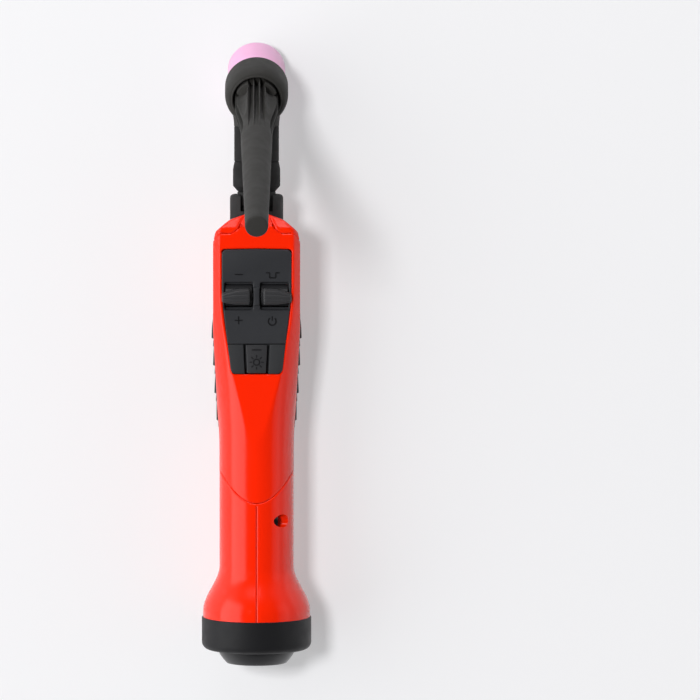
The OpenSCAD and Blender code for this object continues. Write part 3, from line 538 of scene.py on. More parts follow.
def evenly(path, count):
    """A path as a number of evenly spaced points."""
    marks = run(path)
    even = np.linspace(0, marks[-1], count)
    return np.stack([np.interp(even, marks, path[:, k]) for k in (0, 1)], 1)


HANDLE_END = ends("top_cover")[1]
SHELL_REAR = ends("shell_left")[0]
BELL_R = -span("shell_left")[0][0]
HALF_WIDTH = span("top_cover")[1][0]
WAIST_R, SHOULDER_R = 14.85, 20.8
FLARE_START, FLARE_LEN = 9.0, 18.0
SWELL_START, SWELL_LEN = 74.0, 66.0
TOP, BEVEL_LEN, FRONT_DROP = 14.7, 5.0, 3.0
EDGE_SOFT = 0.22
# Over the front face the skin runs inward to CORE_R, on a way of FACE_LEN
CORE_R, FACE_LEN = 5.0, 6.0
CORNER_START = 150
# The front wall's slope, the height below which it slopes, and the way over which the slope comes in
DRAFT, DRAFT_TOP, DRAFT_WAY = 0.1, 11.0, 8.0

# The front corner as seen from above, and how far the sides, the top and the underside lie from the axis
front_corner = rounded([
    (HALF_WIDTH, CORNER_START), (HALF_WIDTH, 157), (HALF_WIDTH - 0.9, 161.3), (HALF_WIDTH - 2.6, 162.9),
    (10.9, 166.1), (5.6, HANDLE_END),
], [0, 4, 2.5, 2.5, 8, 0], closed=False)
side_y = [27, 62, 80, 90, 100, 122]
side_half = [30, 18, 15.5, 15.75, 16.15, HALF_WIDTH]
WAY = np.concatenate([side_y, CORNER_START + run(front_corner)])
WAY_Y = np.concatenate([side_y, front_corner[:, 1]])
WAY_HALF = np.concatenate([side_half, front_corner[:, 0]])
EDGE = WAY[-1]
TOP_LINE = (
    [27, 60, 72, 84, HANDLE_END - BEVEL_LEN, HANDLE_END],
    [30, 16.5, 15.2, TOP, TOP, TOP - FRONT_DROP],
)
UNDER_LINE = [27, 54, 80, 114, 132, 156, HANDLE_END], [30, 18, 15.9, 18.2, 18.2, 17.4, 15.6]
print("the way over the front corner ends at", round(EDGE, 1), "mm")


# %% The skin itself
HALVINGS = 40


def ease(t):
    """A share that starts and ends gently."""
    t = np.clip(t, 0, 1)
    return t * t * (3 - 2 * t)


def soft_least(a, b, soft):
    """The lesser of two values, rounded where they are close."""
    near = np.maximum(soft - abs(a - b), 0) / soft
    return np.minimum(a, b) - near * near * soft / 4


def bar_radius(y):
    """Radius of the round bar at each place along the handle."""
    flare = BELL_R + (WAIST_R - BELL_R) * ease((y - FLARE_START) / FLARE_LEN)
    swell = WAIST_R + (SHOULDER_R - WAIST_R) * ease((y - SWELL_START) / SWELL_LEN)
    return np.where(y < (FLARE_START + FLARE_LEN + SWELL_START) / 2, flare, swell)


def skin(turn, way, depth=0.0):
    """Points of the skin, or of a layer below it. turn is in degrees from +X towards the top. way runs along
    the handle, over the front corner, and past EDGE inward over the front face."""
    turn, way = np.broadcast_arrays(np.asarray(turn, float), np.asarray(way, float))
    y = np.where(way < CORNER_START, way, np.interp(way, WAY, WAY_Y))
    c, s = np.cos(np.radians(turn)), np.sin(np.radians(turn))
    flat = np.where(s > 0, np.interp(y, *TOP_LINE), np.interp(y, *UNDER_LINE))
    r = soft_least(bar_radius(y), np.interp(way, WAY, WAY_HALF) / np.maximum(abs(c), 1e-3), EDGE_SOFT)
    r = soft_least(r, flat / np.maximum(abs(s), 1e-3), EDGE_SOFT)
    r = r + (CORE_R - r) * np.clip((way - EDGE) / FACE_LEN, 0, 1) - depth
    draft = DRAFT * ease((way - CORNER_START) / DRAFT_WAY) * np.maximum(DRAFT_TOP - r * s, 0)
    return np.stack([r * c, np.minimum(y, HANDLE_END - depth) - draft, r * s], -1)


def turn_where(axis, value, way, low, high):
    """The direction between low and high at which the skin reaches a value along an axis."""
    low, high = np.full(len(way), float(low)), np.full(len(way), float(high))
    rising = skin(high, way)[:, axis] > skin(low, way)[:, axis]
    for _ in range(HALVINGS):
        middle_turn = (low + high) / 2
        further = (skin(middle_turn, way)[:, axis] < value) == rising
        low, high = np.where(further, middle_turn, low), np.where(further, high, middle_turn)
    return (low + high) / 2


print("waist:", np.round(skin(0, 50), 2), "shoulder:", np.round(skin(0, 140), 2))

# %% [markdown]
# ## A moulded shell's edge
#
# Where two mouldings meet, each edge is slightly rolled over, and the seam shows as a dark line between two
# soft ones. Painting such a line on one surface looks flat, so each shell is its own closed skin here: an
# outer layer, an edge that rolls down over half a millimetre, and an inner layer. Real shells also overlap
# below the seam, so that no light comes through. Where a seam can be looked into, a lap does this: a strip
# of the one shell that reaches under the other.

# %% A skin with thickness and rolled edges
ROLL = 0.5
# The rolled edge, as shares of ROLL outward and down
ROLL_STEPS = [(0.1, 0.02), (0.8, 0.42), (0.95, 0.6), (1.0, 0.85)]
# How far a lap lies below the inner layer, and where its underside is
LAP_GAP, LAP_T = 0.05, 0.8


def grid_faces(columns, rows, closed=False, tube=False):
    """Faces of a grid whose points run column by column. A closed grid joins its last column to its first,
    and a tube joins its last row to its first."""
    last = columns if closed else columns - 1
    starts = [(i * rows, (i + 1) % columns * rows) for i in range(last)]
    faces = [(a + j, b + j, b + j + 1, a + j + 1) for a, b in starts for j in range(rows - 1)]
    if tube:
        faces += [(a + rows - 1, b + rows - 1, b, a) for a, b in starts]
    return faces


def thick_skin(name, outer, inner, faces, material, roll=ROLL, lap=None):
    """A closed skin between an outer and an inner layer of points, with its edges rolled over. lap says how
    far each point of the edge reaches below the shell next to it, in millimetres."""
    outer, inner, faces = outer.reshape(-1, 3), inner.reshape(-1, 3), np.array(faces)
    across = np.cross(outer[faces[:, 2]] - outer[faces[:, 0]], outer[faces[:, 3]] - outer[faces[:, 1]])
    if np.sum(across * (outer[faces[:, 0]] - inner[faces[:, 0]])) < 0:
        faces, across = faces[:, ::-1], -across
    normals = np.zeros_like(outer)
    for k in range(4):
        np.add.at(normals, faces[:, k], across)
    normals /= np.maximum(np.linalg.norm(normals, axis=1, keepdims=True), 1e-12)
    sides = set(map(tuple, np.concatenate([faces[:, [k, (k + 1) % 4]] for k in range(4)]).tolist()))
    follow = {a: b for a, b in sides if (b, a) not in sides}
    lead = {b: a for a, b in follow.items()}
    rim = np.array(sorted(follow))
    along = outer[[follow[i] for i in rim]] - outer[[lead[i] for i in rim]]
    out = np.cross(along, normals[rim])
    out /= np.maximum(np.linalg.norm(out, axis=1, keepdims=True), 1e-12)
    layers, rows = [outer], [{i: i for i in rim}]
    for away, drop in ROLL_STEPS:
        layers.append(outer[rim] + out * roll * away - normals[rim] * roll * drop)
    layers.append(inner[rim] + out * roll)
    if lap is not None:
        reach = lap.reshape(-1)[rim][:, None]
        share = np.clip(reach, 0, 1)
        down = normals[rim] * share
        layers.append(inner[rim] + out * roll - down * LAP_GAP)
        layers.append(inner[rim] + out * (roll + reach) - down * LAP_GAP)
        layers.append(inner[rim] + out * (roll + reach) - down * LAP_T)
        layers.append(inner[rim] - out * share - down * LAP_T)
    layers.append(inner)
    starts = np.cumsum([0] + [len(layer) for layer in layers])
    last = len(layers) - 1
    for start in starts[1:last]:
        rows.append({i: start + k for k, i in enumerate(rim)})
    rows.append({i: starts[last] + i for i in rim})
    all_faces = faces.tolist() + (faces[:, ::-1] + starts[last]).tolist()
    for a, b in follow.items():
        all_faces += [[near[b], near[a], far[a], far[b]] for near, far in zip(rows, rows[1:])]
    return solid(name, np.concatenate(layers), all_faces, material, 50)


print("edges roll over by", ROLL, "mm")

# %% [markdown]
# ## Where the cover meets the side shells
#
# The red handle is three mouldings. The two side shells meet under the handle and, behind the cover, on
# top. The cover starts with a round end on the waist, runs along both flanks, and narrows to a tongue at
# the front. The seam is one path on the skin, and every moulding's edge is that path, moved a little to
# its own side. It is drawn in five stretches: the round end, the flank, a rise over the front corner, the
# tongue as seen from above, and the way down the front face.

# %% The seam's path
# Half the gap between two mouldings, and the height of the seam on the flanks
SEAM_HALF, SEAM_Z = 0.08, 2.0
# Where the seam leaves the flank, and the lowest direction at which the tongue may begin
RISE_WAY, RISE_TOP = 158, 34
# Outside STEEP_X the skin falls away steeply, so a move as seen from above counts for less there
STEEP_X, STEEP_SHARE = [14.2, 15.2], 0.55
# The cover's rear end on top, and the bow of its outline: 14.5 mm forward at 16.05 mm from the middle
COVER_REAR = 53.3
COVER_BOW = 14.5 / 16.05**2
BOW_POINTS, FLANK_POINTS, RISE_POINTS, TONGUE_POINTS, FACE_POINTS = 26, 52, 7, 34, 6
tongue = [
    (16.9, 158.1), (15.9, 159.8), (14.1, 160.8), (10.2, 160.8), (8.3, 161.8), (7.2, 163.3),
    (5.0, HANDLE_END),
]


def shifted(path, distance):
    """A path moved sideways, to the right of its direction of travel."""
    ahead = np.gradient(path, axis=0)
    ahead /= np.linalg.norm(ahead, axis=1, keepdims=True)
    return path + np.stack([ahead[:, 1], -ahead[:, 0]], 1) * distance


def cover_seam(shift):
    """The seam on the right flank, from the cover's rear end to the front face, as turn and way in stretches.
    A positive shift moves it into the side shell."""
    arc_mm = np.linspace(0, 24, 60)
    bow = np.stack([arc_mm, COVER_REAR + COVER_BOW * (WAIST_R * np.sin(arc_mm / WAIST_R))**2], 1)
    bow = shifted(bow, shift)
    low_turn = math.degrees(math.asin((SEAM_Z - shift) / WAIST_R))
    turns = 90 - np.degrees(bow[:, 0] / WAIST_R)
    corner_way = np.interp(-low_turn, -turns, bow[:, 1])
    bow_turn = np.linspace(90, low_turn, BOW_POINTS)
    bow_way = np.interp(-bow_turn, -turns, bow[:, 1])
    flank_way = np.linspace(corner_way, RISE_WAY + shift, FLANK_POINTS)
    flank_turn = turn_where(2, SEAM_Z - shift, flank_way, -30, 32)
    plan = rounded(tongue, 0.5, closed=False, steps=3)
    plan = plan + (shifted(plan, shift) - plan) * np.interp(plan[:, :1], STEEP_X, [1, STEEP_SHARE])
    plan[-1, 1] = HANDLE_END
    plan = evenly(plan, TONGUE_POINTS)
    tongue_way = np.interp(plan[:, 1], WAY_Y, WAY)
    tongue_way = np.maximum(tongue_way, RISE_WAY + shift)
    tongue_turn = turn_where(0, plan[:, 0], tongue_way, RISE_TOP, 89)
    rise = np.linspace(0, 1, RISE_POINTS + 2)[1:-1]
    rise_turn = flank_turn[-1] + (tongue_turn[0] - flank_turn[-1]) * rise
    rise_way = flank_way[-1] + (tongue_way[0] - flank_way[-1]) * rise**6
    face_way = np.linspace(EDGE, EDGE + FACE_LEN, FACE_POINTS + 1)[1:]
    face_turn = np.full(FACE_POINTS, tongue_turn[-1])
    return [
        (bow_turn, bow_way), (flank_turn[1:], flank_way[1:]), (rise_turn, rise_way),
        (tongue_turn, tongue_way), (face_turn, face_way),
    ]


print("seam stretches:", [len(turn) for turn, _ in cover_seam(0)], "points")

# %% [markdown]
# ## Side shells
#
# Each side shell is a net stretched from the seam under the handle to the seam of the cover. The net's rows
# lean where the cover ends, so that no row doubles back. The left shell is the right one mirrored, but the
# real screws go in from the right only, so only that shell gets their deep round recesses. Both shells lap
# under the cover's tongue, and the left one laps under the right one along the top and the underside.

# %% Side shells
SHELL_T = 2.0
LAP, TONGUE_LAP = 1.6, 1.4
# The lap under the tongue lies above, outside and in front of these
LAP_Z, LAP_X, LAP_WAY = 4, 3, 157.5
# From here on the rows of the net lean
LEAN_START = 31
SHELL_COLUMNS = 57


def between_paths(start, end, shares):
    """A net of turn and way between two paths of as many points. Columns run from the start to the end."""
    return [a[:, None] + (b - a)[:, None] * shares[None, :] for a, b in zip(start, end)]


def side_shell(name, mirror):
    """One side shell. mirror is 1 for the right one and -1 for the left one."""
    inset = SEAM_HALF + ROLL
    seam = cover_seam(inset)
    rear = SHELL_REAR + ROLL
    straight = np.concatenate([
        np.linspace(rear, LEAN_START - 1, 24), np.linspace(LEAN_START + 0.5, seam[0][1][0] - 0.6, 15),
    ])
    radius = skin(90, straight)[:, 2]
    top = (90 - np.degrees(inset / radius), straight)
    end = [np.concatenate([top[k]] + [stretch[k] for stretch in seam]) for k in (0, 1)]
    counts = [len(stretch[0]) for stretch in seam]
    # Where the rows from the ends of the seam's stretches meet the underside
    stops = [44, 62, 158.6, 160.5, EDGE, EDGE + FACE_LEN]
    leaning = np.interp(straight, [LEAN_START, straight[-1]], [LEAN_START, stops[0]])
    lower = [np.where(straight < LEAN_START, straight, leaning)]
    for count, a, b in zip(counts, stops, stops[1:]):
        lower.append(np.linspace(a, b, count + 1)[1:])
    way = np.concatenate(lower)
    start = (-90 + np.degrees(inset / abs(skin(-90, way)[:, 2])), way)
    turn, way = between_paths(start, end, np.linspace(0, 1, SHELL_COLUMNS))
    outer, inner = skin(turn, way), skin(turn, way, SHELL_T)
    for layer in (outer, inner):
        layer[..., 0] *= mirror
    x, z = abs(outer[..., 0]), outer[..., 2]
    middle_lap = LAP * (x < 1.2 * inset) * (way < HANDLE_END) * (mirror < 0)
    tongue_lap = TONGUE_LAP * (z > LAP_Z) * (x > LAP_X) * (way > LAP_WAY) * (way < EDGE)
    return thick_skin(name, outer, inner, grid_faces(*turn.shape), red_polyamide, lap=middle_lap + tongue_lap)


shell_right = side_shell("side_shell_right", 1)
shell_left = side_shell("side_shell_left", -1)
dress(shell_left, "handle", "red_shell", "shell_left")

# %% [markdown]
# ## Screw recesses
#
# A recess is a thick tube inside the shell with a bore through it. Bending the net into a hole would spoil
# the smooth skin round it, so this is a case for booleans: the tube is trimmed to just under the skin,
# joined to the shell, and then bored. The screw at the bottom is the CAD screw.

# %% Boolean helpers and the recesses
def settle(piece, sharp_deg=35):
    """Applies a piece's modifiers to its mesh."""
    mesh = bpy.data.meshes.new_from_object(piece.evaluated_get(bpy.context.evaluated_depsgraph_get()))
    piece.modifiers.clear()
    piece.data = mesh
    tidy(piece, sharp_deg)
    return piece


def combine(piece, tool, operation="DIFFERENCE", sharp_deg=35):
    """Cuts, trims or joins a piece with a tool, and removes the tool."""
    step = piece.modifiers.new("combine", "BOOLEAN")
    step.operation = operation
    step.solver = "EXACT"
    step.object = tool
    settle(piece, sharp_deg)
    bpy.data.objects.remove(tool)
    return piece


def rods(name, centres, radius, low, high, material, segments=48):
    """Round rods along X through places given as (y, z)."""
    points, faces = [], []
    for y, z in centres:
        first = len(points)
        for k in range(segments):
            a = 2 * math.pi * k / segments
            points += [(x, y + radius * math.cos(a), z + radius * math.sin(a)) for x in (low, high)]
        ring = [first + 2 * k for k in range(segments)]
        faces += [ring[::-1], [i + 1 for i in ring]]
        faces += [(a, b, b + 1, a + 1) for a, b in zip(ring, ring[1:] + ring[:1])]
    return solid(name, points, faces, material)


SCREW_BORE_R, SCREW_BOSS_R = 2.6, 3.4
# Places along X, the way of the screws: under their heads, a boss's two ends, and outside the handle
SCREW_SEAT, BOSS_LOW, BOSS_HIGH, OUTSIDE = 6.4, 3.9, 19.0, 25.0
LOW_SCREW_Y = HANDLE_END - 30
screws = [(46.0, 10.6), (46.0, -10.6), (LOW_SCREW_Y, -11.8)]
CORE_DEPTH, CORE_START, CORE_COLUMNS, CORE_ROWS = 0.9, 34, 120, 60
core_turns = np.linspace(-180, 180, CORE_COLUMNS, endpoint=False)
turn, way = np.meshgrid(core_turns, np.linspace(CORE_START, CORNER_START, CORE_ROWS), indexing="ij")
core_points = skin(turn, way, CORE_DEPTH).reshape(-1, 3)
core_faces = grid_faces(CORE_COLUMNS, CORE_ROWS, closed=True)
core_faces += [[i * CORE_ROWS + end for i in range(CORE_COLUMNS)] for end in (0, CORE_ROWS - 1)]
core = solid("core", core_points, core_faces, red_polyamide)
bosses = rods("bosses", screws, SCREW_BOSS_R, BOSS_LOW, BOSS_HIGH, red_polyamide)
combine(bosses, core, "INTERSECT")
combine(shell_right, bosses, "UNION", 50)
bores = rods("bores", screws, SCREW_BORE_R, SCREW_SEAT, OUTSIDE, red_polyamide)
combine(shell_right, bores, "DIFFERENCE", 50)
dress(shell_right, "handle", "red_shell", "shell_right")

# %% [markdown]
# ## Top cover
#
# The cover is a ring of skin round the switch opening. Its net runs from its outer seam to the edge of the
# opening. Corners are paired with corners one by one, because pairing by length alone would shear the net
# where the tongue begins.

# %% The opening's outline and the cover
PANEL_GAP = 0.2
PANEL_TOP = TOP + 0.4
PANEL_FRONT = HANDLE_END - 13.5
PANEL_REAR = PANEL_FRONT - 49.4
PANEL_HALF, PANEL_REAR_HALF = 27.5 / 2, 20.2 / 2


def panel_half(grow):
    """Half of the switch panel's outline, from its front centre to its rear centre."""
    front, rear = PANEL_FRONT + grow, PANEL_REAR - grow
    straight = PANEL_FRONT - 18
    wide, narrow = PANEL_HALF + grow, PANEL_REAR_HALF + grow
    corners = [
        (0, front + 0.2), (wide, front - 0.1), (wide, straight), (wide - 0.5, straight - 5),
        (narrow, rear), (0, rear),
    ]
    return rounded(corners, [0, 1.9, 6, 6, 2.2, 0], closed=False, steps=7)


def even_stretches(path, corners, counts):
    """A path cut near some corners and sampled evenly in between, as one array."""
    cuts = [int(np.argmin(np.linalg.norm(path - np.array(corner), axis=1))) for corner in corners]
    out = []
    for a, b, count in zip(cuts, cuts[1:], counts):
        out.append(evenly(path[a:b + 1], count + 1)[1:])
    return np.concatenate([path[cuts[0]][None]] + out)


seam = cover_seam(-SEAM_HALF - ROLL)
ACROSS_POINTS = 7
across_way = np.full(ACROSS_POINTS, EDGE + FACE_LEN)
across_turn = np.linspace(seam[-1][0][-1], 90, ACROSS_POINTS + 1)[1:]
outer_turn = np.concatenate([turn for turn, _ in seam] + [across_turn])
outer_way = np.concatenate([way for _, way in seam] + [across_way])
counts = [len(turn) for turn, _ in seam]
grow = PANEL_GAP + ROLL
wide, narrow = PANEL_HALF + grow, PANEL_REAR_HALF + grow
rear, front = PANEL_REAR - grow, PANEL_FRONT + grow
opening_corners = [
    (0, rear), (narrow, rear + 2.2), (wide, front - 4), (wide, front - 2),
    (wide - 1.9, front - 0.1), (0, front + 0.2),
]
SIDE_POINTS = 14
front_points = counts[3] - SIDE_POINTS + counts[4] + ACROSS_POINTS
opening = even_stretches(
    panel_half(grow)[::-1], opening_corners,
    [counts[0] - 1, counts[1], counts[2], SIDE_POINTS, front_points],
)
inner_way = np.interp(opening[:, 1], WAY_Y, WAY)
inner_way = np.where(opening[:, 1] < CORNER_START, opening[:, 1], inner_way)
inner_turn = np.degrees(np.arctan2(np.interp(opening[:, 1], *TOP_LINE), opening[:, 0]))
shares = np.linspace(0, 1, 45)
half_turn, half_way = between_paths((outer_turn, outer_way), (inner_turn, inner_way), shares)
turn = np.concatenate([half_turn, 180 - half_turn[-2:0:-1]])
way = np.concatenate([half_way, half_way[-2:0:-1]])
outer = skin(turn, way)
# On top the inner layer lies straight below the outer one, and on the flanks it lies towards the axis
FLAT_TOP, FLAT_FADE = 0.78, 0.1
flat = ease((FLAT_TOP - abs(np.cos(np.radians(turn)))) / FLAT_FADE)[..., None]
below = outer - np.array([0, 0, SHELL_T])
inner = skin(turn, way, SHELL_T) * (1 - flat) + below * flat
cover = thick_skin("top_cover_shell", outer, inner, grid_faces(*turn.shape, closed=True), red_polyamide)
dress(cover, "handle", "red_shell", "top_cover")

# %% [markdown]
# ## Soft grips
#
# Each flank has a rubber inlay with ribs like a saw: a rib rises towards the rear and ends sharply, so that
# the hand doesn't slide off towards the hose. The inlay is a patch of the same skin, lifted by a fraction
# of a millimetre, with the ribs added to its height. This keeps it true to the handle's curve, which a
# flat ribbed pad pressed onto the handle would not.

# %% Soft grips
GRIP_LEN, GRIP_LOW, GRIP_HIGH = 46.0, -13.5, -0.5
GRIP_FRONT = SWELL_START + 54
GRIP_COLUMNS, GRIP_ROWS = 200, 25
GRIP_T, GRIP_ROLL = 0.8, 0.12
RIB_PITCH, RIB_PROUD, GRIP_PROUD = 11.0, 0.75, 0.14
# A small rib follows behind each large one. Length and height, as shares of the pitch and of RIB_PROUD
SMALL_RIB_BEHIND = 3.3
LARGE_RIB, SMALL_RIB = (0.7, 1.0), (0.25, 0.45)


def rib_height(y):
    """Height of the saw of ribs at each place along the grip."""
    height = np.zeros_like(y)
    for rear in np.arange(GRIP_FRONT - RIB_PITCH + 1, GRIP_FRONT - GRIP_LEN, -RIB_PITCH):
        for edge, (length, proud) in ((rear, LARGE_RIB), (rear - SMALL_RIB_BEHIND, SMALL_RIB)):
            climb = (edge - y) / (length * RIB_PITCH) + 1
            rib = proud * RIB_PROUD * np.clip(climb, 0, 1) ** 0.8
            height = np.maximum(height, np.where(y >= edge, rib, 0))
    return height


def soft_grip(name, mirror):
    """One grip. mirror is 1 for the right one and -1 for the left one."""
    rear, front = GRIP_FRONT - GRIP_LEN + ROLL, GRIP_FRONT - ROLL
    way = np.linspace(rear, front, GRIP_COLUMNS)
    low = turn_where(2, GRIP_LOW + ROLL, way, -80, 0)
    high = turn_where(2, GRIP_HIGH - ROLL, way, -20, 20)
    shares = np.linspace(0, 1, GRIP_ROWS)
    turn, way = between_paths((low, way), (high, way), shares)
    edge = np.minimum(shares, shares[::-1]) * (GRIP_HIGH - GRIP_LOW)
    fade = ease(edge)[None, :] * ease(front - way) * ease(way - rear)
    outer = skin(turn, way, -GRIP_PROUD - rib_height(way) * fade)
    inner = skin(turn, way, GRIP_T)
    for layer in (outer, inner):
        layer[..., 0] *= mirror
    return thick_skin(name, outer, inner, grid_faces(*turn.shape), grip_elastomer, GRIP_ROLL)


dress(soft_grip("soft_grip_left", -1), "handle", "soft_grip", "grip_left")
dress(soft_grip("soft_grip_right", 1), "handle", "soft_grip", "grip_right")

# %% [markdown]
# ## Collar and ball
#
# Round pieces are turned: a section is spun round an axis. The rear collar is a cap nut with a large soft
# corner at the back, and the ball of the hose's ball joint looks out of it. The ball is a ball only
# outside. Inside it is a straight bore for the hose.

# %% Turning
def stand(at, axis):
    """A place whose own z runs along an axis of the torch. at is in millimetres."""
    quaternion = Vector((0, 0, 1)).rotation_difference(Vector(axis))
    return Matrix.Translation(Vector(at)) @ quaternion.to_matrix().to_4x4()


def put(points, place):
    """Points of a place's own frame as points of the torch's frame."""
    m = np.array(place)
    return np.asarray(points, float) @ m[:3, :3].T + m[:3, 3]


def turned(name, section, radii, place, material, segments=128, sharp_deg=35):
    """Spins a closed section of (distance from the axis, height) round a place's axis."""
    loop = rounded(section, radii)
    angles = np.linspace(0, 2 * math.pi, segments, endpoint=False)
    points = np.array([(r * math.cos(a), r * math.sin(a), h) for a in angles for r, h in loop])
    faces = grid_faces(segments, len(loop), closed=True, tube=True)
    return solid(name, put(points, place), faces, material, sharp_deg)


def tube_section(inner, outer, low, high):
    """The section of a plain tube."""
    return [(inner, low), (outer, low), (outer, high), (inner, high)]


handle_axis = stand((0, 0, 0), (0, 1, 0))
COLLAR_R = -span("rear_collar")[0][0]
collar_rear, collar_front = ends("rear_collar")
BALL_R = span("hose_ball")[1][0]
SOCKET_R = BALL_R + 0.2
HOSE_R = 11.0
COLLAR_WALL, LIP_END, LIP_POINTS = 1.8, -0.1, 6
thread_r = COLLAR_R - COLLAR_WALL
lip = [(math.sqrt(SOCKET_R**2 - y**2), y) for y in np.linspace(collar_rear, LIP_END, LIP_POINTS)]
collar = turned("rear_collar_nut", lip + [
    (thread_r, LIP_END), (thread_r, collar_front), (COLLAR_R, collar_front), (COLLAR_R, collar_rear),
], [0.3] + [0] * (LIP_POINTS + 1) + [0.35, 3.3], handle_axis, collar_polyamide)
dress(collar, "handle", "collar_black", "rear_collar")

# %% The ball
ball_rear, ball_front = ends("hose_ball")
ARC_POINTS = 28
arc = [(math.sqrt(BALL_R**2 - y**2), y) for y in np.linspace(ball_rear, ball_front, ARC_POINTS)]
ball = turned("ball_of_the_hose_joint", [(HOSE_R, ball_front), (HOSE_R, ball_rear)] + arc,
              [0.3, 0.5, 0.4] + [0] * (ARC_POINTS - 2) + [0.3], handle_axis, ball_acetal)
dress(ball, "hose_ball", "ball_black", "hose_ball")

# %% [markdown]
# ## Neck
#
# The neck plugs into a socket in the handle. The socket ends in two ears, left and right, with the plug's
# key between them, so that the head can't turn. The ears are a turned ring with a slot sawn through it.
# A bevel afterwards rounds every edge that the saw left, as the mould would have.

# %% Socket with two ears
def block(name, low, high, material):
    """A box between two corners."""
    points = [(x, y, z) for x in (low[0], high[0]) for y in (low[1], high[1]) for z in (low[2], high[2])]
    faces = [(0, 1, 3, 2), (4, 6, 7, 5), (0, 4, 5, 1), (2, 3, 7, 6), (0, 2, 6, 4), (1, 5, 7, 3)]
    return solid(name, points, faces, material)


def soft_edges(piece, width_mm, angle_deg=40, segments=3, sharp_deg=50):
    """Rounds every edge that is sharper than an angle."""
    step = piece.modifiers.new("soft edges", "BEVEL")
    step.width = width_mm * MM
    step.segments = segments
    step.limit_method = "ANGLE"
    step.angle_limit = math.radians(angle_deg)
    return settle(piece, sharp_deg)


PLUG_R, SLOT_HALF = 7.6, 6.4
EAR_R, FLANGE_T = 10.6, 2.5
# Half the size of a box that reaches past a piece on both sides, and a margin past its ends
PAST, PAST_END = 20, 5
socket_rear, socket_front = ends("neck_socket")
flange_r = span("neck_socket")[1][0]
bore = PLUG_R + 0.05
socket = turned("neck_socket_with_ears", [
    (bore, socket_rear), (flange_r, socket_rear), (flange_r, socket_rear + FLANGE_T),
    (EAR_R, socket_rear + FLANGE_T), (EAR_R, socket_front), (bore, socket_front),
], [0, 0.2, 0.2, 0, 1.9, 0], handle_axis, socket_polyamide)
slot_rear = HANDLE_END + 1.2
slot_low, slot_high = (-SLOT_HALF, slot_rear, -PAST), (SLOT_HALF, socket_front + PAST_END, PAST)
combine(socket, block("slot", slot_low, slot_high, socket_polyamide))
soft_edges(socket, 0.28)
dress(socket, "handle", "socket_black", "neck_socket")

# %% Plug with its key
TUBE_R = 3.25
plug_rear, plug_front = ends("neck_plug")
plug = turned("neck_plug_body", tube_section(TUBE_R, PLUG_R, plug_rear, plug_front),
              [0, 0.4, 0.4, 0], handle_axis, socket_polyamide)
KEY_LEN, KEY_DROP, KEY_GAP = 4.2, 1.6, 0.25
key_rear = socket_front - KEY_LEN
key = turned("key", tube_section(PLUG_R - 1, EAR_R - KEY_DROP, key_rear, plug_front),
             [0, 0.3, 0.5, 0], handle_axis, socket_polyamide)
key_half = SLOT_HALF - KEY_GAP
key_low, key_high = (-key_half, key_rear - PAST_END, -PAST), (key_half, plug_front + PAST_END, PAST)
combine(key, block("key_sides", key_low, key_high, socket_polyamide), "INTERSECT")
combine(plug, soft_edges(key, 0.2), "UNION")
dress(plug, "handle", "socket_black", "neck_plug")

# %% Rubber over the neck
SLEEVE_R = span("neck_sleeve")[1][0]
NECK_COLLAR_R = span("neck_collar")[1][0]
collar_low, collar_high = ends("neck_collar")
neck_collar = turned("neck_collar_rubber", [
    (TUBE_R, collar_low), (PLUG_R, collar_low), (NECK_COLLAR_R, collar_low + 2.1),
    (NECK_COLLAR_R, collar_high - 3), (SLEEVE_R - 0.1, collar_high), (TUBE_R, collar_high),
], [0, 0.3, 0.8, 0.8, 0.3, 0], handle_axis, neck_silicone)
dress(neck_collar, "handle", "neck_black", "neck_collar")
sleeve_low, sleeve_high = ends("neck_sleeve")
sleeve = turned("neck_sleeve_rubber", tube_section(TUBE_R, SLEEVE_R, sleeve_low, sleeve_high),
                [0, 0.3, 0.3, 0], handle_axis, neck_silicone)
dress(sleeve, "handle", "neck_black", "neck_sleeve")

# %% [markdown]
# ## Head, nozzle and cap
#
# The head leans: its axis runs from the nozzle's mouth up the back cap, 20 degrees off the vertical. All
# its round pieces are turned on that axis. The ring's shoulder is a quarter of an ellipse, with a thin lip
# round the cap's root. The neck's boss widens from the sleeve to the ring, and is cut to the ring's outside.

# %% Head ring and neck boss
HEAD = Vector(head_joint["pos_m"]) / MM
head_axis = stand(HEAD, head_joint["axis"])
RIM_LOW, RIM_HIGH, SHOULDER = -3.6, 10.8, 5.7
HEAD_R, LIP_R, ROOT_GAP_R = 12.55, 10.3, 9.4
BODY_R, BODY_TOP, GASKET_R, NOZZLE_SEAT = 7.05, 6.05, 10.65, -0.9
# A turned solid's inner radius, too small to matter
NO_BORE = 0.01
SHOULDER_POINTS = 12
shoulder = [
    (LIP_R + (HEAD_R - LIP_R) * math.cos(a), RIM_HIGH - SHOULDER + (SHOULDER - 0.35) * math.sin(a))
    for a in np.radians(np.linspace(0, 90, SHOULDER_POINTS))
]
ring = turned("head_ring", [
    (BODY_R, NOZZLE_SEAT), (GASKET_R, NOZZLE_SEAT), (GASKET_R, RIM_LOW), (HEAD_R, RIM_LOW),
    *shoulder, (LIP_R - 0.4, RIM_HIGH), (ROOT_GAP_R, RIM_HIGH), (ROOT_GAP_R, BODY_TOP),
    (BODY_R, BODY_TOP),
], [0, 0, 0.2, 0.5] + [0] * (SHOULDER_POINTS - 1) + [0.15, 0, 0.35, 0, 0], head_axis, head_phenolic)
boss_rear = sleeve_high + 0.1
boss = turned("boss", [
    (TUBE_R, boss_rear), (SLEEVE_R + 0.05, boss_rear), (SLEEVE_R + 0.15, sleeve_high + 2.0),
    (NECK_COLLAR_R, sleeve_high + 4.5), (NECK_COLLAR_R, HEAD.y - 5), (TUBE_R, HEAD.y - 5),
], [0, 0, 4, 3, 0, 0], handle_axis, head_phenolic)
under_ring = tube_section(NO_BORE, HEAD_R + 3, -40, RIM_LOW + 0.6)
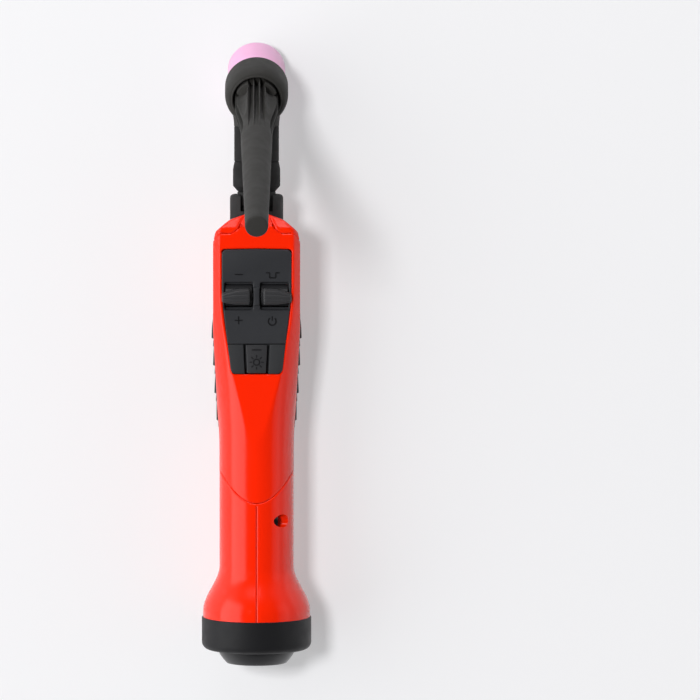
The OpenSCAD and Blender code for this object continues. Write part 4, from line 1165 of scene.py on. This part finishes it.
combine(boss, turned("under_ring", under_ring, 0, head_axis, head_phenolic))
in_ring = tube_section(NO_BORE, HEAD_R - 0.8, -10, 30)
combine(boss, turned("in_ring", in_ring, 0, head_axis, head_phenolic))
combine(ring, boss, "UNION")
dress(ring, "handle", "head_black", "head_insulation")

# %% [markdown]
# The nozzle is fired alumina with a thick wall. The two edges of its mouth are rounded by half a
# millimetre, and the bore steps in where the gas lens sits.

# %% Gas nozzle
NOZZLE_R, NOZZLE_WALL, MOUTH = 11.45, 1.65, -21.8
# The nozzle's top lies lower than its seat, with the gasket in between
NOZZLE_STEP, LENS_R, NOZZLE_DROP = 1, 9.05, 1.6
nozzle_top, nozzle_shoulder = NOZZLE_SEAT - NOZZLE_DROP, RIM_LOW - 0.2
nozzle_bore = NOZZLE_R - NOZZLE_WALL
nozzle = turned("nozzle_of_alumina", [
    (LENS_R, nozzle_top), (NOZZLE_R - NOZZLE_STEP, nozzle_top), (NOZZLE_R - NOZZLE_STEP, nozzle_shoulder),
    (NOZZLE_R, nozzle_shoulder), (NOZZLE_R, MOUTH), (nozzle_bore, MOUTH), (nozzle_bore, RIM_LOW - 7),
    (LENS_R, RIM_LOW - 7.8),
], [0, 0.2, 0, 0.5, 0.55, 0.5, 0.4, 0.3], head_axis, pink_alumina, segments=160)
dress(nozzle, "gas_nozzle", "alumina", "gas_nozzle")

# %% [markdown]
# The back cap's root is fluted for a good grip: four scoops, each ending in a short ledge, leave four lobes
# with three narrow grooves each. Scoops and grooves run out on the cone, where a boolean would leave ragged
# edges. So the cap is one round net, and each point's distance from the axis is worked out as the least of
# the plain cap, the scoops and the grooves.

# %% Back cap
CAP_END = RIM_HIGH + 125.5
ROOT_R, STEM_R, TIP_R = 8.6, 6.4, 4.4
ROOT_TOP, CONE_TOP = RIM_HIGH + 13, RIM_HIGH + 31
LEDGE, GROOVE_END = RIM_HIGH + 2.4, RIM_HIGH + 44
SPIGOT_R, SPIGOT_LOW, CAP_UNDER = 4.95, 2.6, 7.7
GROOVE_HALF, GROOVE_DEPTH, GROOVE_PITCH = 1.0, 3.0, 2.45
GROOVE_EDGE, FLUTE_SOFT = 0.3, 0.12
SCOOP_R, SCOOP_SET = 3.6, ROOT_R + 1.15
# The scoops' radius at the ledge, a little above it and where they run out, less SCOOP_R
SCOOP_GROWTH = [0.35, -0.3, -0.75]
# A radius that no part of the cap reaches
NO_CUT = 99


def plain_cap(h):
    """Radius of the cap without scoops and grooves."""
    return np.interp(h, [CAP_UNDER, ROOT_TOP, ROOT_TOP + 1.5, CONE_TOP - 2, CONE_TOP, CAP_END],
                     [ROOT_R, ROOT_R, ROOT_R - 0.12, STEM_R + 0.2, STEM_R, TIP_R])


def cap_radius(angle, h):
    """Radius of the cap in each direction, in degrees, and at each height."""
    plain = plain_cap(h)
    off_lobe = (angle + 45) % 90 - 45
    r = plain
    bottoms = [ROOT_R - GROOVE_DEPTH, STEM_R - 0.3 * GROOVE_DEPTH, STEM_R]
    bottom = np.interp(h, [ROOT_TOP, CONE_TOP, GROOVE_END], bottoms)
    for middle in (-GROOVE_PITCH, 0, GROOVE_PITCH):
        aside = abs(plain * np.sin(np.radians(off_lobe)) - middle)
        share = ease((GROOVE_HALF - aside) / GROOVE_EDGE)
        r = np.minimum(r, plain - np.maximum(plain - bottom, 0) * share)
    off_scoop = np.radians(angle % 90 - 45)
    scoop_r = SCOOP_R + np.interp(h, [LEDGE, LEDGE + 5, CONE_TOP + 2], SCOOP_GROWTH)
    hit = scoop_r**2 - (SCOOP_SET * np.sin(off_scoop)) ** 2
    scoop = np.where(hit > 0, SCOOP_SET * np.cos(off_scoop) - np.sqrt(np.maximum(hit, 0)), NO_CUT)
    drop = ease((h - LEDGE + 0.25) / 0.5)
    cut = np.where(scoop < r, r + (scoop - r) * drop, r)
    return soft_least(r, cut, FLUTE_SOFT)


# Heights of the net's rows, closest together at the ledge
heights = np.concatenate([
    np.linspace(CAP_UNDER + 0.3, LEDGE - 0.5, 8), np.linspace(LEDGE - 0.3, LEDGE + 0.4, 9),
    np.linspace(LEDGE + 0.8, CONE_TOP + 3, 48), np.linspace(CONE_TOP + 4, GROOVE_END + 2, 16),
    np.linspace(GROOVE_END + 8, CAP_END - 4, 14),
])
angles = np.linspace(0, 360, 384, endpoint=False)
CENTRE_R = 0.02
tip_start = CAP_END - 3.5
tip_corners = [(plain_cap(tip_start), tip_start), (TIP_R, CAP_END), (CENTRE_R, CAP_END)]
tip = rounded(tip_corners, [0, 0.8, 0], closed=False)
start = [(CENTRE_R, SPIGOT_LOW), (SPIGOT_R, SPIGOT_LOW), (SPIGOT_R, CAP_UNDER), (ROOT_R - 0.3, CAP_UNDER)]
columns = []
for angle in angles:
    column = start + list(zip(cap_radius(angle, heights), heights)) + [tuple(p) for p in tip]
    a = math.radians(angle + 90)
    columns += [(r * math.cos(a), r * math.sin(a), h) for r, h in column]
rows = len(columns) // len(angles)
faces = grid_faces(len(angles), rows, closed=True)
faces += [[i * rows + end for i in range(len(angles))] for end in (0, rows - 1)]
cap = solid("long_back_cap", put(columns, head_axis), faces, cap_phenolic, 40)
dress(cap, "back_cap", "cap_black", "back_cap")

# %% [markdown]
# ## Switches
#
# The switch panel is a flat moulding with two windows, and behind it lies a pad with the light button. Flat
# pieces with rounded edges come easily from curves: an outline, its holes, a thickness and a bevel. Each
# is turned into a mesh at once. Its outline is drawn smaller by the bevel, because a curve's bevel
# grows outward.
#
# Under each window the panel has a skirt that goes down into the handle, and in the skirt a ledge with a
# hole for the rocker's drum. They keep the red shell below out of sight.

# %% Flat pieces
def plate(name, outlines, low, high, edge, material):
    """A flat piece between two heights, with rounded edges. All outlines but the first are holes."""
    curve = bpy.data.curves.new(name, "CURVE")
    curve.dimensions = "2D"
    curve.fill_mode = "BOTH"
    curve.extrude = ((high - low) / 2 - edge) * MM
    curve.bevel_depth = edge * MM
    curve.bevel_resolution = 2
    curve.offset = -edge * MM
    for number, loop in enumerate(outlines):
        loop = np.asarray(loop, float)
        area = np.sum(loop[:, 0] * np.roll(loop[:, 1], -1) - np.roll(loop[:, 0], -1) * loop[:, 1])
        if (area > 0) != (number == 0):
            loop = loop[::-1]
        spline = curve.splines.new("POLY")
        spline.points.add(len(loop) - 1)
        for point, (x, y) in zip(spline.points, loop):
            point.co = (x * MM, y * MM, 0, 1)
        spline.use_cyclic_u = True
    drawn = bpy.data.objects.new(name, curve)
    bpy.context.scene.collection.objects.link(drawn)
    mesh = bpy.data.meshes.new_from_object(drawn.evaluated_get(bpy.context.evaluated_depsgraph_get()))
    bpy.data.objects.remove(drawn)
    mesh.transform(Matrix.Translation((0, 0, (low + high) / 2 * MM)))
    return place_mesh(name, mesh, material)


def shaft_outline(near, far, half, radius):
    """A rectangle with round corners across the rocker shaft, between two places along it."""
    low, high = ROCKER.y - half, ROCKER.y + half
    return rounded([(near, low), (far, low), (far, high), (near, high)], radius)


def whole(half):
    """Both sides of an outline whose half runs from the front centre to the rear centre."""
    half = np.asarray(half)
    return np.concatenate([half, half[-2:0:-1] * [-1, 1]])


PANEL_T = 2.5
PANEL_EDGE, SOFT_EDGE, CRISP_EDGE = 0.4, 0.35, 0.05
PAD_SEAM, PAD_GAP = PANEL_REAR + 11.8, 0.1
ROCKER = Vector(joint("right_rocker")["pos_m"]) / MM
WINDOW_IN, WINDOW_OUT, WINDOW_HALF = 1.4, 12.8, 5.5
SKIRT_T, SKIRT_SIDE, SKIRT_DEPTH = 0.6, 0.25, 2.6
# How far the ledge's underside lies below the panel's, and the ledge's thickness
LEDGE_LOW, LEDGE_T = 0.9, 0.7
DRUM_R, DRUM_IN, DRUM_OUT = 4.4, 1.7, 12.5
POST_HALF, POST_REACH, POST_TOP = 1.15, 3.4, 1.9
# How far pieces that are joined run into each other
OVERLAP = 0.3
panel_under = PANEL_TOP - PANEL_T
outline = panel_half(0)
cut_y = PAD_SEAM + PAD_GAP
cut_x = float(np.interp(-cut_y, -outline[:, 1], outline[:, 0]))
front_part = np.concatenate([outline[outline[:, 1] > cut_y], [(cut_x, cut_y), (0, cut_y)]])
windows = [shaft_outline(s * WINDOW_IN, s * WINDOW_OUT, WINDOW_HALF, 0.8) for s in (-1, 1)]
panel_outlines = [whole(front_part)] + windows
panel = plate("switch_panel_plate", panel_outlines, panel_under, PANEL_TOP, PANEL_EDGE, satin_polyamide)
for s, window in zip((-1, 1), windows):
    around = shaft_outline(s * (WINDOW_IN - 0.2), s * (WINDOW_OUT + SKIRT_SIDE), WINDOW_HALF + SKIRT_T, 0.5)
    skirt_low, skirt_high = panel_under - SKIRT_DEPTH, panel_under + OVERLAP
    skirt = plate("skirt", [around, window], skirt_low, skirt_high, CRISP_EDGE, satin_polyamide)
    combine(panel, skirt, "UNION")
    ledge_outlines = [
        shaft_outline(s * (WINDOW_IN - 0.1), s * (WINDOW_OUT + 0.15), WINDOW_HALF + OVERLAP, 0.3),
        shaft_outline(s * (WINDOW_IN + 0.1), s * (DRUM_OUT + 0.1), DRUM_R + 0.2, 0.3),
    ]
    ledge_z = panel_under - LEDGE_LOW
    ledge = plate("ledge", ledge_outlines, ledge_z, ledge_z + LEDGE_T, CRISP_EDGE, satin_polyamide)
    combine(panel, ledge, "UNION")
post_outline = shaft_outline(-POST_HALF, POST_HALF, POST_REACH, 0.5)
post = plate("post", [post_outline], PANEL_TOP - 1, PANEL_TOP + POST_TOP, SOFT_EDGE, satin_polyamide)
combine(panel, post, "UNION")
dress(panel, "handle", "panel_black", "switch_panel")

# %% Pad behind the panel, with a channel for the button
PAD_BASE, WEB_T = panel_under - 1.2, 1
BUTTON_HALF, BUTTON_TAPER, BUTTON_GAP = 4.25, 0.55, 1.0
BUTTON_PROUD, BUTTON_T = 0.1, 2.0
pad_front, pad_rear = PAD_SEAM - PAD_GAP, PANEL_REAR
button_front, button_rear = PAD_SEAM - 0.35, PANEL_REAR + 0.25
rear_x = BUTTON_HALF - BUTTON_TAPER + BUTTON_GAP
pad_x = float(np.interp(-pad_front, -outline[:, 1], outline[:, 0]))
rear_part = outline[(outline[:, 1] < pad_front) & (outline[:, 0] > rear_x)]
front_x = BUTTON_HALF + BUTTON_GAP
wing = np.concatenate([[(front_x, pad_front), (pad_x, pad_front)], rear_part, [(rear_x, pad_rear)]])
web_x, web_rear = front_x + 0.8, pad_rear + OVERLAP
web = [(-web_x, pad_front), (web_x, pad_front), (web_x, web_rear), (-web_x, web_rear)]
pad = plate("switch_pad", [wing], PAD_BASE, PANEL_TOP, SOFT_EDGE, pad_elastomer)
combine(pad, plate("wing", [wing * [-1, 1]], PAD_BASE, PANEL_TOP, SOFT_EDGE, pad_elastomer), "UNION")
combine(pad, plate("web", [web], PAD_BASE, PAD_BASE + WEB_T, 0.1, pad_elastomer), "UNION")
dress(pad, "handle", "panel_black", "lower_pad")

# %% Light button
button_rear_half = BUTTON_HALF - BUTTON_TAPER
button_outline = rounded([
    (-BUTTON_HALF, button_front), (BUTTON_HALF, button_front),
    (button_rear_half, button_rear), (-button_rear_half, button_rear),
], 0.4)
button_mid = (button_front + button_rear) / 2
button_low = span("light_button")[0][2]
button_under, button_top = PAD_BASE + BUTTON_T, PANEL_TOP + BUTTON_PROUD
button = plate("light_button_cap", [button_outline], button_under, button_top, SOFT_EDGE, lever_polyamide)
STEM_FOOT_R, BUTTON_STEM_R, FOOT_T = 2.4, 1.6, 1
stem_end = button_under + 0.5
stem = turned("stem", [
    (NO_BORE, button_low), (STEM_FOOT_R, button_low), (STEM_FOOT_R, button_low + FOOT_T),
    (BUTTON_STEM_R, button_low + FOOT_T), (BUTTON_STEM_R, stem_end), (NO_BORE, stem_end),
], 0, stand((0, button_mid + 0.1, 0), (0, 0, 1)), lever_polyamide)
combine(button, stem, "UNION")
dress(button, "light_button", "lever_black", "light_button")

# %% [markdown]
# Each rocker is a drum on the shaft with a grip bar across its top. The bar is crowned: lowest and narrowest
# at its outer end, where it reaches the panel's edge. Two fine grooves run along it for the fingertip. It
# is lofted through sections along the shaft, and the drum is turned round the shaft.

# %% Rockers
BAR_IN, BAR_OUT = 2.6, 13.8
BAR_TOP = PANEL_TOP + 3.2
# The bar's half width along it, how far it sinks at its round ends and towards its outer end, and how far
# its outer end leans back
BAR_TAPER = [0, 0.5, 0.78, 1], [3.3, 3.05, 2.45, 1.75]
END_DROP, OUTER_DROP, BAR_LEAN = 0.7, 0.9, 0.55
# How deep the bar's foot goes over the drum, and how high it stays above the panel past the drum
BAR_FOOT, BAR_CLEAR = 1.6, 0.9
# Height lost across the crown and at its very edges, and the grooves' place, width and depth
CROWN_DROP, EDGE_DROP, EDGE_FROM = 0.55, 0.18, 0.86
BAR_GROOVE, BAR_GROOVE_WIDE, BAR_GROOVE_DEEP = 0.34, 0.1, 0.22
# The share of the bar, from its middle out, that its round ends leave straight
STRAIGHT = 0.84
SHAFT_R, DRUM_DROP = 1.05, 1.6


def bar_section(half_width, top, base):
    """A bar's section as (y, z) points: straight sides, round shoulders and two fine grooves."""
    across = np.linspace(-1, 1, 33)
    at_edge = ease((abs(across) - EDGE_FROM) / (1 - EDGE_FROM))
    crown = top - CROWN_DROP * np.abs(across) ** 3 - EDGE_DROP * at_edge
    for groove in (-BAR_GROOVE, BAR_GROOVE):
        crown -= BAR_GROOVE_DEEP * np.exp(-(((across - groove) / BAR_GROOVE_WIDE) ** 2))
    shoulder_corners = [(-half_width, base), (-half_width, top - 0.7), (-half_width + 0.5, top - CROWN_DROP)]
    shoulder = rounded(shoulder_corners, [0, 0.6, 0], closed=False)
    upper = np.stack([across * (half_width - 0.5), crown], 1)
    return np.concatenate([shoulder[:-1], upper, (shoulder[:-1] * [-1, 1])[::-1]])


def rocker(name, side):
    """One rocker. side is 1 for the right one and -1 for the left one."""
    stations = np.concatenate([
        np.linspace(0, 0.12, 6), np.linspace(0.16, 0.84, 18), np.linspace(0.88, 1, 6),
    ])
    points = []
    for t in stations:
        x = BAR_IN + (BAR_OUT - BAR_IN) * t
        end = math.sqrt(max(0, 1 - max(0, (abs(2 * t - 1) - STRAIGHT) / (1 - STRAIGHT)) ** 2))
        half_width = float(np.interp(t, *BAR_TAPER)) * (0.8 + 0.2 * end)
        top = BAR_TOP - END_DROP * (1 - end) - OUTER_DROP * max(0, t - 0.35) ** 2
        base = PANEL_TOP - BAR_FOOT if x < DRUM_OUT - OVERLAP else PANEL_TOP + BAR_CLEAR
        middle = ROCKER.y - BAR_LEAN * t**2
        points += [(side * x, middle + y, z) for y, z in bar_section(half_width, top, base)]
    rows = len(points) // len(stations)
    faces = grid_faces(len(stations), rows, tube=True)
    faces += [list(range(rows)), list(range(len(points) - rows, len(points)))]
    bar = solid(name, points, faces, lever_polyamide, 50)
    shaft = stand((0, ROCKER.y, ROCKER.z), (side, 0, 0))
    drum_section = tube_section(SHAFT_R, DRUM_R, DRUM_IN, DRUM_OUT)
    drum = turned("drum", drum_section, [0, 0.4, 0.4, 0], shaft, lever_polyamide)
    below = ROCKER.z - DRUM_DROP
    flat_low, flat_high = (-PAST, ROCKER.y - PAST, below - PAST), (PAST, ROCKER.y + PAST, below)
    combine(drum, block("flat", flat_low, flat_high, lever_polyamide))
    return combine(bar, drum, "UNION", 50)


dress(rocker("rocker_lever_left", -1), "rocker_left", "lever_black", "rocker_left")
dress(rocker("rocker_lever_right", 1), "rocker_right", "lever_black", "rocker_right")

# %% [markdown]
# ## Marks
#
# The marks say what the switches do: less and more current, a step, standby, and a lamp. They are generic
# signs. On the real part they are printed, so each is a strip that stands only four hundredths of a
# millimetre proud, drawn as a path with a width.

# %% Printed marks
# The width of a printed line, and how far it stands above and reaches below the surface
LINE = 0.5
PRINT_PROUD, PRINT_SUNK = 0.04, 0.05


def strip(path, height, width=LINE, closed=False):
    """A printed strip along a path, lying on a height."""
    path = np.asarray(path, float)
    count = len(path)
    if closed:
        ahead = np.roll(path, -1, 0) - np.roll(path, 1, 0)
    else:
        ahead = np.gradient(path, axis=0)
    ahead /= np.linalg.norm(ahead, axis=1, keepdims=True)
    aside = np.stack([-ahead[:, 1], ahead[:, 0]], 1) * width / 2
    points = []
    for p, a in zip(path, aside):
        for z in (height - PRINT_SUNK, height + PRINT_PROUD):
            points += [(*(p - a), z), (*(p + a), z)]
    faces = []
    last = count if closed else count - 1
    for i in range(last):
        a, b = 4 * i, 4 * ((i + 1) % count)
        faces += [(a + 2, b + 2, b + 3, a + 3), (a, a + 1, b + 1, b)]
        faces += [(a, b, b + 2, a + 2), (a + 1, a + 3, b + 3, b + 1)]
    if not closed:
        faces += [(0, 2, 3, 1), (4 * count - 4, 4 * count - 3, 4 * count - 1, 4 * count - 2)]
    return solid("strip", points, faces, mark_print)


def gather(name, pieces):
    """Several separate strips as one piece."""
    work = bmesh.new()
    for piece in pieces:
        work.from_mesh(piece.data)
    mesh = bpy.data.meshes.new(name)
    work.to_mesh(mesh)
    work.free()
    for piece in pieces:
        bpy.data.objects.remove(piece)
    return place_mesh(name, mesh, mark_print)


def ring_path(x, y, radius, start=0, end=360, count=20):
    """A circle or an arc between two directions, in degrees."""
    a = np.radians(np.linspace(start, end, count, endpoint=end - start < 360))
    return np.stack([x + radius * np.cos(a), y + radius * np.sin(a)], 1)


less = [[(-8.6, 144.6), (-5.4, 144.6)]]
more = [[(-8.7, 126.4), (-5.5, 126.4)], [(-7.1, 124.8), (-7.1, 126.14)], [(-7.1, 126.66), (-7.1, 128.0)]]
step_corners = [(3.7, 145.3), (5.2, 145.3), (5.2, 143.3), (7.6, 143.3), (7.6, 145.3), (9.1, 145.3)]
step = [rounded(step_corners, 0.2, closed=False)]
switch_marks = [strip(path, PANEL_TOP) for path in less + more + step]
STANDBY = (6.2, 126.0)
switch_marks.append(strip(ring_path(*STANDBY, 1.55, 125, 415), PANEL_TOP, LINE + 0.06))
switch_marks.append(strip([(STANDBY[0], 126.2), (STANDBY[0], 128.1)], PANEL_TOP))
dress(gather("switch_marks", switch_marks), "handle", "panel_black")

LAMP_R, RAY_START, RAY_END = 1.2, 1.8, 2.9
lamp_y, bar_y = button_mid - 1.2, button_front - 1.9
lamp = [
    strip([(-1.9, bar_y), (1.9, bar_y)], button_top),
    strip(ring_path(0, lamp_y, LAMP_R), button_top, closed=True),
]
for angle in range(0, 360, 45):
    c, s = math.cos(math.radians(angle)), math.sin(math.radians(angle))
    ray = [(reach * c, lamp_y + reach * s) for reach in (RAY_START, RAY_END)]
    lamp.append(strip(ray, button_top, LINE - 0.08))
dress(gather("button_marks", lamp), "light_button", "lever_black")

# %% [markdown]
# ## Inner pieces
#
# The tube, coupling, collet, gas lens, board and switches inside are CAD pieces of the right shape already,
# so they stay. Each gets the finish of its real material, and shows where a view looks into the nozzle,
# a recess or a window. The board alone is painted darker than its own green, as shade under the windows.

# %% Finishes of the CAD pieces
finishes = {
    oxide_steel: ["shell_screws"],
    bright_steel: ["rocker_shaft", "board_screws"],
    ball_acetal: ["ball_seat_ring"],
    turned_brass: ["gas_tube", "coupling_body", "coupling_nut", "head_body"],
    turned_copper: ["collet_body", "collet"],
    woven_steel: ["gas_lens_screens"],
    ground_tungsten: ["tungsten_electrode"],
    seal_rubber: ["plug_o_ring", "cap_o_ring"],
    gasket_ptfe: ["nozzle_gasket"],
    # The board's near-black green is painted shade under the switch windows
    board_painted_shade: ["circuit_board"],
    switch_body: ["push_switches"],
    header_nylon: ["board_connector"],
    lens_polycarbonate: ["work_light"],
}
for material, nodes in finishes.items():
    for node in nodes:
        mesh = frame["nodes"][node].data
        mesh.materials.clear()
        mesh.materials.append(material)
        mesh.shade_smooth()
        mesh.set_sharp_from_angle(angle=math.radians(30))
print(sum(len(nodes) for nodes in finishes.values()), "CAD pieces finished")
